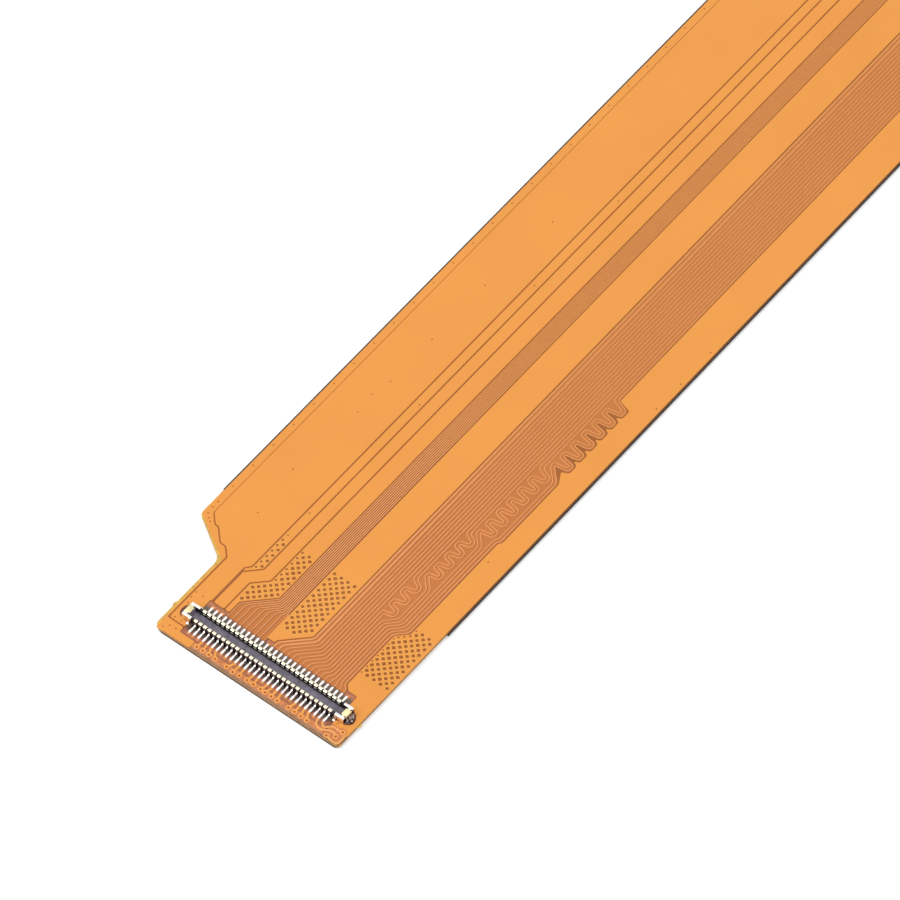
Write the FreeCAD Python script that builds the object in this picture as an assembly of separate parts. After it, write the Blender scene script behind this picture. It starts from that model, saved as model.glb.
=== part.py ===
"""A flat flex cable: a copper and polyimide laminate with a fine-pitch plug soldered to each end.

Millimetres, +Z up. X runs along the strip, Y across it, and the origin is on the underside,
in the middle of the cable. Each end is drawn in its own two directions: "along" is measured
from the plug's centre line towards the middle of the cable, and "across" from the plug's
first contact column towards the strip's straight edge. End b mirrors end a.
"""
import FreeCAD
import Part
import math
import os

# Laminate, layer by layer from the underside
stiffener_thickness = 0.20
shield_thickness = 0.02
coverlay_thickness = 0.03
copper_thickness = 0.02
core_thickness = 0.05

# Plug: two rows of formed contacts that hang over the walls of a slotted housing
contact_count = 30
contact_pitch = 0.40
contact_width = 0.22
contact_sheet = 0.07
contact_rise = 0.55
tail_length = 0.75
groove_width = 0.70
groove_clearance = 0.04
wall_thickness = 0.12
housing_standoff = 0.02
housing_floor = 0.10
rib_clearance = 0.03
rib_rise = 0.05
plug_end = 1.20
end_wall = 0.48

# Hold-downs: a folded clip over each end of the housing
clip_gap = 0.14
clip_foot = 0.26
clip_foot_overlap = 0.10
clip_foot_past_tip = 0.18

# Solder: a fillet at one end of each plug, and a larger mound at the other
fillet_reach = 0.14
fillet_rise = 0.18
mound_reach = 0.42
mound_rise = 0.34

# Outline of the film
cable_length = 120.0
tab_end_margin = 0.92
tab_left_margin = 1.05
tab_right_margin = 0.89
neck_step = 3.36
neck_start = 6.96
neck_rise = 2.16
neck_round_in = 1.0
neck_round_out = 0.6
corner_round_left = 0.55
corner_round_right = 0.30

# Stubs where the cable was broken from its panel
nub_width = 0.50
nub_height = 0.10
strip_nub_place = 50.3

# What lies on the film's underside
stiffener_length = 11.70
stiffener_side_inset = 0.12
corner_facets = 3
shield_overhang = 0.13

# Front copper: margin to the film's edge, gaps between copper areas, pads
copper_margin = 0.16
line_gap = 0.11
wide_line_gap = 0.20
track_gap = 0.105
pad_width = 0.24
pad_past_tail = 0.09

# The line beside the strip's shaped edge: its margins, and its steps round the neck
edge_line_strip_margin = 0.69
edge_line_tab_margin = 0.29
edge_line_past_plug = 1.10
edge_line_turn = 0.44
edge_line_rise = 0.60
edge_line_step = 0.37
edge_line_meets_strip = 2.49

# The three lines between the ground areas, at their places on the strip
power_line_across = -0.07
power_line_jog = 0.34
power_line_bend = 5.55
sense_line_across = 0.69
sense_line_bend = 5.88
return_line_across = 1.68
return_line_jog = 1.03
return_line_bend = 5.45

# The narrow group of tracks: columns, lanes, and where the fan begins beyond the tails
narrow_first_column = 3
narrow_count = 9
narrow_lane_pitch = 0.141
narrow_last_lane_shift = 0.15
narrow_track = 0.07
narrow_fan_start = 1.40
narrow_fan_step = 0.145

# The wide group of tracks: two heavy ones first, then fine ones, of which the last are pairs
wide_first_column = 13
heavy_count = 2
heavy_lane_pitch = 0.30
heavy_track = 0.15
fine_lane_pitch = 0.253
fine_track = 0.10
wide_last_lane_shift = 0.36
wide_fan_start = 0.49

# Jog of the outer pairs, and the meander of each pair, first right-hand turn first
jog_start = 7.33
jog_step = 0.18
jog_shift = 0.80
meander_turn_count = [3, 4, 6, 6]
meander_first_turn = [8.60, 12.87, 17.86, 25.40]
meander_pitch = [1.22, 1.13, 1.148, 1.174]
meander_swing = [0.73, 0.73, 0.92, 1.02]
turn_flatness = 0.36
turn_entry = 0.24
meander_lead = 1.0
widening_along = 17.65
widening = 0.20
scallop_depth = 0.60

# Copper-free field beside the outer row, and the openings in the front coverlay
field_across_start = 0.80
window_past_inner_tails = 0.34
window_past_outer_tails = 0.24
window_past_columns = 0.55
window_past_clips = 0.10

# Heights that follow from the laminate
back_coverlay_bottom = stiffener_thickness
shield_bottom = back_coverlay_bottom - shield_thickness
back_copper_bottom = back_coverlay_bottom + coverlay_thickness
core_bottom = back_copper_bottom + copper_thickness
front_copper_bottom = core_bottom + core_thickness
front_copper_top = front_copper_bottom + copper_thickness

# Plan sizes that follow from the plug
row_length = (contact_count - 1) * contact_pitch
inner_face = groove_width / 2
wall_inside = inner_face + contact_sheet
wall_outside = wall_inside + wall_thickness
leg_outside = wall_outside + contact_sheet
tail_reach = leg_outside + tail_length
rib_width = contact_pitch - contact_width - 2 * rib_clearance
clip_length = plug_end - contact_pitch / 2 - rib_width / 2 - clip_gap
clip_half = leg_outside + clip_foot
plug_left = -plug_end
plug_right = row_length + plug_end

# Plan sizes of the film that follow from the plug and its margins
tab_end = -tail_reach - tab_end_margin
tab_left = plug_left - tab_left_margin
strip_left = tab_left - neck_step
strip_right = plug_right + tab_right_margin
neck_low = tab_end + neck_start
stiffener_reach = tab_end + stiffener_length

# Heights above the pads: the contact's top sheet lies on the wall
wall_top = contact_rise - contact_sheet
contact_dip = housing_standoff + housing_floor + groove_clearance

# Lanes that follow from the last column of each group
wide_last_column = contact_count - 2
wide_count = wide_last_column - wide_first_column + 1
pair_count = len(meander_turn_count)
narrow_last_column = narrow_first_column + narrow_count - 1
narrow_last_lane = narrow_last_column * contact_pitch - narrow_last_lane_shift
wide_last_lane = wide_last_column * contact_pitch - wide_last_lane_shift


def to_x(along, end):
    """X of a distance along from the plug's centre line at that end."""
    x = -cable_length / 2 - tab_end + along
    return x if end == "a" else -x


def to_y(across):
    """Y of a distance across from the first contact column."""
    return (strip_left + strip_right) / 2 - across


def plan_point(point, end, z=0.0):
    """Vector in the model of an (along, across) point at one end."""
    return FreeCAD.Vector(to_x(point[0], end), to_y(point[1]), z)


def plan_face(points, end="a"):
    """Flat face inside a ring of (along, across) points."""
    ring = [plan_point(point, end) for point in points]
    return Part.Face(Part.makePolygon(ring + ring[:1]))


def rectangle(along, across):
    """Corners of a rectangle between two along values and two across values."""
    return [(along[0], across[0]), (along[1], across[0]), (along[1], across[1]), (along[0], across[1])]


def block(along, across, low, high, end):
    """Box between two along values and two across values, from height low to high."""
    x0, x1 = sorted((to_x(along[0], end), to_x(along[1], end)))
    y0, y1 = sorted((to_y(across[0]), to_y(across[1])))
    return Part.makeBox(x1 - x0, y1 - y0, high - low, FreeCAD.Vector(x0, y0, low))


def sheet(face, low, thickness):
    """Solid of that thickness that stands on a flat face moved up to height low."""
    raised = face.copy()
    raised.translate(FreeCAD.Vector(0, 0, low))
    return raised.extrude(FreeCAD.Vector(0, 0, thickness))


def copper_sheets(faces):
    """One solid of front copper for each face."""
    return Part.makeCompound([sheet(face, front_copper_bottom, copper_thickness) for face in faces])


def rounded_face(corners):
    """Flat face of a ring of (vector, radius) corners, with an arc at each rounded one."""
    spans = []
    for i, (here, radius) in enumerate(corners):
        into = (here - corners[i - 1][0]).normalize()
        out = (corners[(i + 1) % len(corners)][0] - here).normalize()
        half_turn = into.getAngle(out) / 2
        run = radius * math.tan(half_turn)
        middle = here + (out - into).normalize() * radius * (1 / math.cos(half_turn) - 1)
        spans.append((here - into * run, middle, here + out * run))
    edges = []
    for i, (first, middle, last) in enumerate(spans):
        if (last - first).Length > 0:
            edges.append(Part.Arc(first, middle, last).toShape())
        edges.append(Part.LineSegment(last, spans[(i + 1) % len(spans)][0]).toShape())
    return Part.Face(Part.Wire(edges))


def end_ring(inset):
    """Corners at one end, from the straight edge round the tab to the far side of the neck."""
    slant_shift = inset * math.tan(math.atan2(neck_step, neck_rise) / 2)
    return [
        (tab_end + inset, strip_right - inset),
        (tab_end + inset, tab_left + inset),
        (neck_low + slant_shift, tab_left + inset),
        (neck_low + neck_rise + slant_shift, strip_left + inset),
    ]


def whole_ring(inset):
    """The ring of corners round the whole cable, as vectors."""
    near = [plan_point(point, "a") for point in end_ring(inset)]
    far = [plan_point(point, "b") for point in end_ring(inset)]
    return near + far[::-1]


def film_face():
    """Outline of the laminate, with its rounded corners."""
    radii = [corner_round_right, corner_round_left, neck_round_in, neck_round_out]
    return rounded_face(list(zip(whole_ring(0), radii + radii[::-1])))


def copper_face():
    """Outline that the copper keeps to, inside the film's edge."""
    ring = whole_ring(copper_margin)
    return Part.Face(Part.makePolygon(ring + ring[:1]))


def nub_face(along, across, outward, end):
    """Stub on the film's edge."""
    half = nub_width / 2
    tip = across + outward * nub_height
    ring = [(along - half, across), (along - half / 2, tip), (along + half / 2, tip), (along + half, across)]
    return plan_face(ring, end)


def film_with_nubs():
    """The film's outline with its stubs, two beside each plug and two on the strip."""
    nubs = []
    for end in ("a", "b"):
        nubs.append(nub_face(0.0, strip_right, 1, end))
        nubs.append(nub_face(0.0, tab_left, -1, end))
    strip_nub = tab_end + strip_nub_place
    nubs.append(nub_face(strip_nub, strip_right, 1, "a"))
    nubs.append(nub_face(strip_nub, strip_left, -1, "a"))
    return film_face().fuse(nubs).removeSplitter().Faces[0]


def offset_path(points, distance):
    """Path moved sideways, to greater across values where the distance is positive."""
    legs = [(b[0] - a[0], b[1] - a[1]) for a, b in zip(points, points[1:])]
    headings = [math.atan2(leg[1], leg[0]) for leg in legs]
    moved = []
    for i, (along, across) in enumerate(points):
        into = headings[max(i - 1, 0)]
        out = headings[min(i, len(headings) - 1)]
        half_turn = math.remainder(out - into, math.tau) / 2
        normal = into + half_turn + math.pi / 2
        reach = distance / math.cos(half_turn)
        moved.append((along + reach * math.cos(normal), across + reach * math.sin(normal)))
    return moved


def band_face(left, right):
    """Flat face between two paths."""
    return plan_face(left + right[::-1])


def ribbon_face(points, width):
    """Flat strip of constant width along a path."""
    return band_face(offset_path(points, -width / 2), offset_path(points, width / 2))


def to_far_end(points):
    """A path at end a, followed by its mirror image at end b."""
    far = cable_length + 2 * tab_end
    return points + [(far - along, across) for along, across in points[::-1]]


def fan_path(column, lane, fan_start):
    """Track from under its tail, straight to the bend, then at 45 degrees into its lane."""
    across = column * contact_pitch
    bend = tail_reach + fan_start
    return [(leg_outside, across), (bend, across), (bend + abs(lane - across), lane)]


def narrow_paths():
    """Paths of the narrow group, from plug to plug."""
    paths = []
    for k in range(narrow_count):
        lane = narrow_last_lane - (narrow_count - 1 - k) * narrow_lane_pitch
        near = fan_path(narrow_first_column + k, lane, narrow_fan_start + k * narrow_fan_step)
        paths.append(to_far_end(near))
    return paths


def wide_lane(k):
    """Lane of a track in the wide group."""
    fine_lane = wide_last_lane - (wide_count - 1 - max(k, heavy_count)) * fine_lane_pitch
    return fine_lane - max(heavy_count - k, 0) * heavy_lane_pitch


def wide_fan(k):
    """Fan of a track in the wide group. The last ones lean outwards, so they bend lower."""
    column = wide_first_column + k
    lean = min(wide_lane(k) - column * contact_pitch, 0) / 2
    return fan_path(column, wide_lane(k), wide_fan_start + lean)


def meander_wave(pair, lane):
    """Centre line of a pair's meander: flat turns to the right and back at the lane."""
    half_pitch = meander_pitch[pair] / 2
    half_flat = turn_flatness * half_pitch
    entry = meander_first_turn[pair] - half_pitch + half_flat
    wave = [(entry - turn_entry, lane), (entry, lane)]
    for i in range(2 * meander_turn_count[pair] - 1):
        middle = meander_first_turn[pair] + i * half_pitch
        across = lane if i % 2 else lane + meander_swing[pair]
        wave += [(middle - half_flat, across), (middle + half_flat, across)]
    wave.append((wave[-1][0] + half_pitch - half_flat, lane))
    return wave


def jog_path(pair, lane):
    """Centre line of an outer pair from its fan out of the inner pairs' way and back to its lane."""
    jog = jog_start + jog_step * (pair_count - 2 - pair)
    outer = lane + jog_shift
    path = [(jog, lane), (jog + jog_shift, outer)]
    if pair == pair_count - 1:
        path.append((widening_along - widening, outer))
        outer += widening
        path.append((widening_along, outer))
    back = meander_wave(pair, lane)[0][0]
    path.append((back - (outer - lane), outer))
    return path


def pair_paths(pair):
    """Both tracks of a pair between their near fans and their far lanes."""
    first = wide_count - 2 * (pair_count - pair)
    lane = (wide_lane(first) + wide_lane(first + 1)) / 2
    jog = jog_path(pair, lane) if pair > 0 else []
    centre = jog + meander_wave(pair, lane)
    led = [(centre[0][0] - meander_lead, lane)] + centre + [(centre[-1][0] + meander_lead, lane)]
    return [offset_path(led, side * fine_lane_pitch / 2)[1:-1] for side in (-1, 1)]


def wide_paths():
    """Path of each track in the wide group, from plug to plug."""
    middles = [[] for k in range(wide_count - 2 * pair_count)]
    for pair in range(pair_count):
        middles += pair_paths(pair)
    paths = []
    for k, middle in enumerate(middles):
        near = wide_fan(k)
        paths.append(near + middle + to_far_end(near)[len(near):])
    return paths


def wide_group_edge():
    """The line that the ground keeps to beyond the last pair: jog, widening, then a scalloped run."""
    last = wide_count - 1
    near = wide_fan(last)
    lane = wide_lane(last)
    peak = lane + meander_swing[-1]
    half_pitch = meander_pitch[-1] / 2
    edge = near + jog_path(pair_count - 1, lane)
    for i in range(meander_turn_count[-1]):
        middle = meander_first_turn[-1] + 2 * i * half_pitch
        edge.append((middle - half_pitch, peak - scallop_depth))
        edge.append((middle - half_pitch / 2, peak))
        edge.append((middle + half_pitch / 2, peak))
    edge.append((middle + half_pitch, lane))
    return offset_path(edge + to_far_end(near)[len(near):], fine_track / 2 + track_gap)


def near_line_across():
    """Where the power line runs beside the plug, doubled with the sense line."""
    return power_line_across - power_line_jog


def line_merge():
    """Where the sense line leaves the power line."""
    return sense_line_bend - (sense_line_across - near_line_across())


def ground_lines():
    """Paths of the lines that part the ground areas, from plug to plug."""
    across_tab = tab_left + copper_margin + edge_line_tab_margin - line_gap
    across_strip = strip_left + edge_line_strip_margin
    turn = neck_low + edge_line_turn
    edge_line = [
        (-edge_line_past_plug, -window_past_columns),
        (-edge_line_past_plug, across_tab),
        (turn, across_tab),
        (turn + edge_line_rise, across_tab - edge_line_rise),
        (turn + edge_line_rise, across_tab - edge_line_rise - edge_line_step),
        (neck_low + edge_line_meets_strip, across_strip),
    ]
    window_edge = tail_reach + window_past_inner_tails
    near_across = near_line_across()
    power_line = [
        (window_edge, near_across),
        (power_line_bend - power_line_jog, near_across),
        (power_line_bend, power_line_across),
    ]
    sense_line = [(line_merge(), near_across), (sense_line_bend, sense_line_across)]
    return_line = [
        (window_edge, return_line_across - return_line_jog),
        (return_line_bend - return_line_jog, return_line_across - return_line_jog),
        (return_line_bend, return_line_across),
    ]
    return [to_far_end(path) for path in (edge_line, power_line, sense_line, return_line)]


def window_ring_faces(end):
    """Opening in the front coverlay at one end: one rectangle round the tails, one round the clips."""
    along = -tail_reach - window_past_outer_tails, tail_reach + window_past_inner_tails
    across = -window_past_columns, row_length + window_past_columns
    clip_along = -leg_outside - window_past_clips, leg_outside + window_past_clips
    clip_left = plug_left - fillet_reach - window_past_clips
    clip_right = plug_right + mound_reach + window_past_clips
    tails = plan_face(rectangle(along, across), end)
    clips = plan_face(rectangle(clip_along, (clip_left, clip_right)), end)
    return tails.fuse(clips).removeSplitter().Faces[0]


def front_ground():
    """Ground areas: the whole pour less its lines, the two track fields and the fields at the plugs."""
    cuts = [ribbon_face(path, line_gap) for path in ground_lines()]
    narrow = narrow_paths()
    wide = wide_paths()
    narrow_reach = narrow_track / 2 + track_gap
    cuts.append(band_face(offset_path(narrow[0], -narrow_reach), offset_path(narrow[-1], narrow_reach)))
    cuts.append(band_face(offset_path(wide[0], -heavy_track / 2 - track_gap), wide_group_edge()))
    for end in ("a", "b"):
        left_side = near_line_across() - line_gap / 2
        doubled = (tail_reach, line_merge()), (left_side, left_side + wide_line_gap)
        cuts.append(plan_face(rectangle(*doubled), end))
        field = (tab_end + copper_margin, -tail_reach), (field_across_start, strip_right - copper_margin)
        cuts.append(plan_face(rectangle(*field), end))
        cuts.append(window_ring_faces(end))
    return copper_sheets(copper_face().cut(cuts).Faces)


def wide_tracks():
    """The wide group's tracks, the first ones heavier."""
    faces = []
    for k, path in enumerate(wide_paths()):
        faces.append(ribbon_face(path, heavy_track if k < heavy_count else fine_track))
    return copper_sheets(faces)


def has_track(column):
    """Whether a track starts under the inner tail of a column."""
    return (
        narrow_first_column <= column <= narrow_last_column
        or wide_first_column <= column <= wide_last_column
    )


def clip_tip(side):
    """Where a clip's arms end, towards the contacts."""
    return plug_left + clip_length if side == "left" else plug_right - clip_length


def foot_span(side):
    """Across values between which a clip's feet lie, past the tips of its arms."""
    inward = 1 if side == "left" else -1
    return clip_tip(side) - inward * clip_foot_overlap, clip_tip(side) + inward * clip_foot_past_tip


def solder_pads(end):
    """Pads under the tails that no track serves, and one under each clip, its feet and its solder."""
    faces = []
    for column in range(contact_count):
        middle = column * contact_pitch
        sides = middle - pad_width / 2, middle + pad_width / 2
        along = leg_outside, tail_reach + pad_past_tail
        faces.append(plan_face(rectangle((-along[0], -along[1]), sides), end))
        if not has_track(column):
            faces.append(plan_face(rectangle(along, sides), end))
    for side, outer in (("left", plug_left - fillet_reach), ("right", plug_right + mound_reach)):
        clip_pad = plan_face(rectangle((-leg_outside, leg_outside), (outer, clip_tip(side))), end)
        foot_pad = plan_face(rectangle((-clip_half, clip_half), foot_span(side)), end)
        faces.append(clip_pad.fuse(foot_pad).removeSplitter().Faces[0])
    return faces


def contact_section(row):
    """Section of a contact as (along, height): down inside the wall, over it, down and out on the pad."""
    section = [
        (inner_face, contact_dip),
        (inner_face, contact_rise),
        (leg_outside, contact_rise),
        (leg_outside, contact_sheet),
        (tail_reach, contact_sheet),
        (tail_reach, 0),
        (wall_outside, 0),
        (wall_outside, wall_top),
        (wall_inside, wall_top),
        (wall_inside, contact_dip),
    ]
    return [(row * along, height) for along, height in section]


def contact_row(row, end):
    """One row of formed contacts, as separate solids."""
    solids = []
    for column in range(contact_count):
        side = column * contact_pitch - contact_width / 2
        ring = []
        for along, height in contact_section(row):
            ring.append(plan_point((along, side), end, front_copper_top + height))
        face = Part.Face(Part.makePolygon(ring + ring[:1]))
        solids.append(face.extrude(FreeCAD.Vector(0, -contact_width, 0)))
    return Part.makeCompound(solids)


def housing(end):
    """Trough with solid ends: floor, two long walls under the contacts, and a rib between contacts."""
    low = front_copper_top + housing_standoff
    top = front_copper_top + wall_top
    body_ends = plug_left + contact_sheet, plug_right - contact_sheet
    body = block((-wall_outside, wall_outside), body_ends, low, top, end)
    groove_ends = plug_left + end_wall, plug_right - end_wall
    groove = block((-wall_inside, wall_inside), groove_ends, low + housing_floor, top, end)
    ribs = []
    for gap in range(1, contact_count):
        middle = gap * contact_pitch - contact_pitch / 2
        sides = middle - rib_width / 2, middle + rib_width / 2
        for row in (-1, 1):
            ribs.append(block((row * wall_inside, row * wall_outside), sides, top, top + rib_rise, end))
    return body.cut(groove).fuse(ribs).removeSplitter()


def hold_down(end, side):
    """Folded clip: web over the housing's end wall, an arm along each long wall, flange, legs and feet."""
    outer = plug_left if side == "left" else plug_right
    inward = 1 if side == "left" else -1
    tip = clip_tip(side)
    bottom = front_copper_top
    under, top = bottom + wall_top, bottom + contact_rise
    plate = block((-leg_outside, leg_outside), (outer, tip), under, top, end)
    notch = block((-wall_inside, wall_inside), (outer + inward * end_wall, tip), under, top, end)
    flange = block((-leg_outside, leg_outside), (outer, outer + inward * contact_sheet), bottom, top, end)
    folds = [flange]
    foot_top = bottom + contact_sheet
    for row in (-1, 1):
        folds.append(block((row * wall_outside, row * leg_outside), (outer, tip), bottom, top, end))
        folds.append(block((row * wall_outside, row * clip_half), foot_span(side), bottom, foot_top, end))
    return plate.cut(notch).fuse(folds).removeSplitter()


def solder_lump(foot, crown, rise, end):
    """Solder between a rectangle on the pad and a smaller one above it."""
    wires = []
    for ring, height in ((foot, 0.0), (crown, rise)):
        points = [plan_point(point, end, front_copper_top + height) for point in rectangle(*ring)]
        wires.append(Part.makePolygon(points + points[:1]))
    return Part.makeLoft(wires, True, True)


def solder(end):
    """Solder against each clip's end flange: a small fillet and a larger mound."""
    fillet_foot = (-wall_inside, wall_inside), (plug_left - fillet_reach, plug_left)
    fillet_crown = (-inner_face, inner_face), (plug_left - fillet_reach / 3, plug_left)
    mound_foot = (-wall_outside, wall_outside), (plug_right, plug_right + mound_reach)
    mound_crown = (-wall_inside, inner_face), (plug_right, plug_right + mound_reach / 2)
    lumps = [
        solder_lump(fillet_foot, fillet_crown, fillet_rise, end),
        solder_lump(mound_foot, mound_crown, mound_rise, end),
    ]
    return Part.makeCompound(lumps)


def cut_corner(along, across, radius, first_angle):
    """Points on a quarter turn round a centre, for a corner that is cut in straight facets."""
    points = []
    for k in range(corner_facets + 1):
        angle = first_angle + math.pi / 2 * k / corner_facets
        points.append((along + radius * math.cos(angle), across + radius * math.sin(angle)))
    return points


def stiffener(end):
    """Plate under the tab, flush with its end, set in from its sides and cut at the film's round corners."""
    right, left, neck_in, neck_out = end_ring(stiffener_side_inset)
    right_turn = tab_end + corner_round_right, right[1] - corner_round_right
    left_turn = tab_end + corner_round_left, left[1] + corner_round_left
    ring = cut_corner(*right_turn, corner_round_right, math.pi / 2)
    ring += cut_corner(*left_turn, corner_round_left, math.pi)
    ring += [neck_in, neck_out, (stiffener_reach, neck_out[1]), (stiffener_reach, right[1])]
    return sheet(plan_face(ring, end), 0, stiffener_thickness)


def shield():
    """Black shield film on the back of the strip, a little wider than the laminate."""
    sides = strip_left - shield_overhang, strip_right + shield_overhang
    x_start, x_end = to_x(stiffener_reach, "a"), to_x(stiffener_reach, "b")
    corner = FreeCAD.Vector(x_start, to_y(sides[1]), shield_bottom)
    return Part.makeBox(x_end - x_start, sides[1] - sides[0], shield_thickness, corner)


def front_coverlay(film):
    """Polyimide cover on the front, open round each plug's tails and clips."""
    face = film.cut([window_ring_faces("a"), window_ring_faces("b")]).Faces[0]
    return sheet(face, front_copper_top, coverlay_thickness)


def build_parts():
    """Every piece of the cable by name."""
    film = film_face()
    parts = {
        "shield_film": shield(),
        "back_coverlay": sheet(film, back_coverlay_bottom, coverlay_thickness),
        "back_ground_plane": sheet(copper_face(), back_copper_bottom, copper_thickness),
        "core_film": sheet(film_with_nubs(), core_bottom, core_thickness),
        "front_ground_areas": front_ground(),
        "narrow_track_group": copper_sheets([ribbon_face(path, narrow_track) for path in narrow_paths()]),
        "wide_track_group": wide_tracks(),
        "solder_pads": copper_sheets(solder_pads("a") + solder_pads("b")),
        "front_coverlay": front_coverlay(film),
    }
    for end in ("a", "b"):
        parts["stiffener_" + end] = stiffener(end)
        parts["plug_" + end + "_housing"] = housing(end)
        parts["plug_" + end + "_outer_contacts"] = contact_row(-1, end)
        parts["plug_" + end + "_inner_contacts"] = contact_row(1, end)
        parts["plug_" + end + "_left_hold_down"] = hold_down(end, "left")
        parts["plug_" + end + "_right_hold_down"] = hold_down(end, "right")
        parts["plug_" + end + "_solder"] = solder(end)
    return parts


os.makedirs("parts", exist_ok=True)
for name, shape in build_parts().items():
    shape.exportStep(os.path.join("parts", name + ".step"))
    box = shape.BoundBox
    size = "%.2f x %.2f x %.3f" % (box.XLength, box.YLength, box.ZLength)
    volume = "volume %.4f" % shape.Volume
    print(name, "solids", len(shape.Solids), "valid", shape.isValid(), volume, "size", size)
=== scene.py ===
# %% [markdown]
# # Dressing a flat flex cable
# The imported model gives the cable's exact forms: a flat laminate with copper inside it and a fine-pitch
# plug on each end tab. This lesson keeps those forms and adds what the eye sees in a studio picture:
# the relief that copper makes in the cover film, the bent contacts, the solder and the finishes.

import math
import random

import bmesh
import bpy
from mathutils import Matrix, Vector


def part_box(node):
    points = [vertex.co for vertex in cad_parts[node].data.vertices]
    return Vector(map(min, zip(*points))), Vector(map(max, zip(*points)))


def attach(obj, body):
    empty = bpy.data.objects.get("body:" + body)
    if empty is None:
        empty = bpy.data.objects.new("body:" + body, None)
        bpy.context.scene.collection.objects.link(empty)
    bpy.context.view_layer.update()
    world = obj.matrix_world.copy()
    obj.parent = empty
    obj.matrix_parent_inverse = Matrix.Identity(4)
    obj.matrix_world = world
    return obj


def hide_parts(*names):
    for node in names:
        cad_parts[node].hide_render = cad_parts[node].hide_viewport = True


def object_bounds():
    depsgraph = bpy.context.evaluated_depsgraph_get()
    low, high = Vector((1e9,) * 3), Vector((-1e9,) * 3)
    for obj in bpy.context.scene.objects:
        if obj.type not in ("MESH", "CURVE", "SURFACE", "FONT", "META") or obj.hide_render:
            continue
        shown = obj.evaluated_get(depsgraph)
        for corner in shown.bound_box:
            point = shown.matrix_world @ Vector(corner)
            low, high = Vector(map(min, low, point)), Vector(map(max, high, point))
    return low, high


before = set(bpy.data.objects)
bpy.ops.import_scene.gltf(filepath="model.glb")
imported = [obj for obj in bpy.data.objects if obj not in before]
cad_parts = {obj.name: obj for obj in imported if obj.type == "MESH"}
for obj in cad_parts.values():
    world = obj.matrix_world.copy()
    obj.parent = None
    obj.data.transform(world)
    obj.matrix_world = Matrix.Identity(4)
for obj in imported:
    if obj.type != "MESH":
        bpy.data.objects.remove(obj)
cad_low, cad_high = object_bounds()
print("CAD box in mm:", [round(1000 * v, 3) for v in (*cad_low, *cad_high)])

# %% [markdown]
# ## Measures and places
# Everything on the tabs is measured from the plug: "along" runs from the plug's centre line towards the
# middle of the cable, "across" from its first contact column towards the straight edge. Both plugs
# mirror each other, so one place gives a point at each end. The zero points are read from the frame.

# %% Places on a tab, in millimetres
MM = 0.001
PITCH = 0.4
COLUMNS = 30
CONTACT_WIDTH = 0.22

plug_low, plug_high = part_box("plug_a_housing")
rows_low, rows_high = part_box("plug_a_outer_contacts")
PLUG_X = (plug_low.x + plug_high.x) / 2 / MM
FIRST_COLUMN_Y = rows_high.y / MM - CONTACT_WIDTH / 2
ENDS = ("a", "b")


def place(along, across, end="a"):
    """(x, y) in millimetres of a place on the tab at that end."""
    x = PLUG_X + along
    return (x if end == "a" else -x, FIRST_COLUMN_Y - across)


def places(points, end="a"):
    """Places of several points on the tab at that end."""
    return [place(*point, end) for point in points]


print("plug centre x %.3f mm, first column y %.3f mm" % (PLUG_X, FIRST_COLUMN_Y))

# %% [markdown]
# ## Camera
# The picture was taken from far away with a long lens, about 54 degrees above the table. The numbers
# below were fitted to the contact rows and the film's edges. The camera comes first, because every
# later choice is judged through it.

# %% Camera
CAMERA_RISE = math.radians(54.441)
CAMERA_TURN = math.radians(-51.790)
CAMERA_ROLL = math.radians(0.174)
CAMERA_DISTANCE = 0.62634
FOCAL_PIXELS = 9173.16
PICTURE_PIXELS = 900
SENSOR_WIDTH = 36.0
aim = Vector((*[MM * value for value in place(21.497, 4.398)], 0.35 * MM))

forward = Vector((
    -math.sin(CAMERA_TURN) * math.cos(CAMERA_RISE),
    math.cos(CAMERA_TURN) * math.cos(CAMERA_RISE),
    -math.sin(CAMERA_RISE),
))
level = Vector((math.cos(CAMERA_TURN), math.sin(CAMERA_TURN), 0))
upward = level.cross(forward)
side = math.cos(CAMERA_ROLL) * level + math.sin(CAMERA_ROLL) * upward
top = math.cos(CAMERA_ROLL) * upward - math.sin(CAMERA_ROLL) * level

bpy.ops.object.select_all(action="DESELECT")
bpy.ops.object.camera_add()
camera = bpy.context.object
camera.name = "studio_camera"
turn = Matrix((side, top, -forward)).transposed()
camera.matrix_world = Matrix.Translation(aim - forward * CAMERA_DISTANCE) @ turn.to_4x4()
camera.data.sensor_width = SENSOR_WIDTH
camera.data.lens = FOCAL_PIXELS / PICTURE_PIXELS * SENSOR_WIDTH
camera.data.clip_start = 0.01
camera.data.clip_end = 10
bpy.context.scene.camera = camera
print("lens %.1f mm at %.0f mm" % (camera.data.lens, CAMERA_DISTANCE / MM))

# %% [markdown]
# ## Colours
# Colours are given as red, green and blue from 0 to 255. Blender mixes light in linear values, so one helper
# turns the first into the second.


# %% Colour helper
def tone(red, green, blue):
    """Linear colour of a screen colour given from 0 to 255."""
    linear = []
    for value in (red, green, blue):
        share = value / 255
        linear.append(share / 12.92 if share <= 0.04045 else ((share + 0.055) / 1.055) ** 2.4)
    return (*linear, 1.0)


print("amber film in linear values:", [round(value, 3) for value in tone(240, 160, 77)])

# %% [markdown]
# ## Nodes in one line
# Every material here is a small network of nodes. One helper adds a node, changes its settings and then
# fills its inputs: a number or a colour is set, another node's output is linked. Short helpers on top of
# it cover the four kinds that come up again and again: sums, noises, ranges and mixes. Two more start a
# material and feed its shader.


# %% Adding a node
def add_node(tree, kind, inputs, **settings):
    """New node with its settings, and with inputs that are values or other nodes' outputs."""
    node = tree.nodes.new("ShaderNode" + kind)
    for name, value in settings.items():
        setattr(node, name, value)
    for name, value in inputs.items():
        if isinstance(value, bpy.types.NodeSocket):
            tree.links.new(value, node.inputs[name])
        else:
            node.inputs[name].default_value = value
    return node


print("helper made:", add_node.__name__)


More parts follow.
